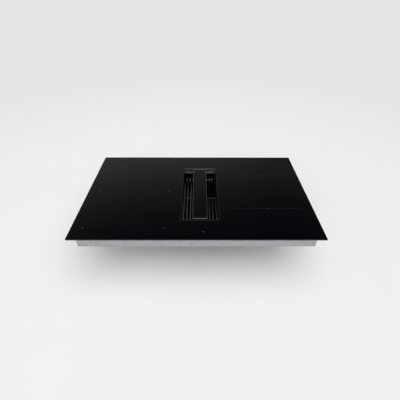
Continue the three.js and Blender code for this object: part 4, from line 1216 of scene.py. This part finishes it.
# Brightness of the room by elevation in degrees: pale and even low down, and fading out above
# behind the object, so that the black glass mirrors a soft fade.
HORIZON = ((-90, 0.6), (0, 0.78), (14, 0.7), (24, 0.3), (29, 0.0), (90, 0.0))
BACK_SKY = (
    (14, 0.0), (24, 0.2), (30, 0.28), (34, 0.18), (38, 0.1), (42, 0.055), (46, 0.03), (90, 0.03)
)
FRONT_SKY = ((-90, 0.6), (0, 0.78), (14, 0.6), (30, 0.4), (90, 0.25))
# Share of the back sky from left to right, by the X of the direction.
SKY_LEAN = ((-0.5, 1.15), (0.0, 0.97), (0.13, 0.74), (0.26, 0.44), (0.5, 0.36))
SKY_TURN = (0.02, -0.3)  # the Y of the direction where the back sky ends and the front one is full
SKY_TINT = (1.0, 0.985, 1.03)

# Soft lights without an edge that the glass could mirror: the direction towards each, its
# brightness in the middle, and the angle in degrees to where it ends.
SOFT_LIGHTS = (((0.12, -0.3, 0.95), 2.5, 52.0), ((-0.45, -0.78, 0.44), 0.5, 42.0))


def sky_band(sky, height, stops, tint=(1.0, 1.0, 1.0)):
    """Colour of the sky from (degrees above the horizon, brightness) stops."""
    bands = [((angle + 90) / 180, [level * share for share in tint]) for angle, level in stops]
    return sky.ramp(height, bands)


def soft_light(sky, direction, color, towards, level, end):
    """Adds a light that fades smoothly from its middle outwards."""
    near = sky.result("VectorMath", "DOT_PRODUCT", direction, Vector(towards).normalized())
    share = sky.remap(near, 0.0, 1.0, cos(radians(end)), 1.0)
    share.node.interpolation_type = "SMOOTHSTEP"
    return sky.mix("ADD", share, color, (level, level, level, 1))


def make_world():
    world = bpy.data.worlds.new("studio")
    world.use_nodes = True
    sky = Nodes(world.node_tree)
    direction = sky.node("TexCoord").outputs["Generated"]
    place = sky.node("SeparateXYZ", Vector=direction).outputs
    angle = sky.result("Math", "ARCSINE", place["Z"])
    height = sky.remap(angle, 0.0, 1.0, -pi / 2, pi / 2)
    (left, most), (right, _) = SKY_LEAN[0], SKY_LEAN[-1]
    leans = [((x - left) / (right - left), [level / most] * 3) for x, level in SKY_LEAN]
    lean = sky.ramp(sky.remap(place["X"], 0.0, 1.0, left, right), leans)
    tint = [share * most for share in SKY_TINT]
    upper = sky.mix("MULTIPLY", 1.0, sky_band(sky, height, BACK_SKY, tint), lean)
    back = sky.mix("ADD", 1.0, sky_band(sky, height, HORIZON), upper)
    front = sky_band(sky, height, FRONT_SKY)
    color = sky.mix("MIX", sky.remap(place["Y"], 0.0, 1.0, *SKY_TURN), back, front)
    for light in SOFT_LIGHTS:
        color = soft_light(sky, direction, color, *light)
    seen = sky.node("LightPath").outputs["Is Camera Ray"]
    color = sky.mix("MIX", seen, color, BACKDROP)
    sky.put(color, sky.tree.nodes["Background"].inputs["Color"])
    bpy.context.scene.world = world


LAMP = Sizes(place=(-2.6, -4.2, 2.6), target=(0, 0, 0.15), size=(2.4, 1.6), watts=20.0)


def make_lamp():
    data = bpy.data.lights.new("front_fill", "AREA")
    data.shape = "RECTANGLE"
    data.size, data.size_y = LAMP.size
    data.energy = LAMP.watts
    lamp = bpy.data.objects.new("front_fill", data)
    lamp.location = LAMP.place
    lamp.visible_glossy = False
    aim = Vector(LAMP.target) - Vector(LAMP.place)
    lamp.rotation_euler = aim.to_track_quat("-Z", "Y").to_euler()
    link(lamp)


# ---- assembly

bpy.context.scene.view_settings.view_transform = "Standard"
MATERIALS = make_materials()
make_camera()
make_floor()
make_world()
make_lamp()
dress_nodes()
glass_top()
zone_marks()
touch_mark()
vent_collar()
cover_glass()
cover_frame()
filter_box()
filter_base()
filter_crossbar()
vanes(-1, "left")
vanes(1, "right")
comb_rivets()
filter_mesh()
for housing in HOUSINGS:
    soften(*housing)
tray_beads()
case_beads()
case_screws()
spigot_screws()
terminal_screws()
tray_screws()
corner_rivets()
for strip in FOAM_STRIPS:
    foam_strip(*strip)
outlet_spigot()
cable_gland()
blower_wheel()
inlet_bell()
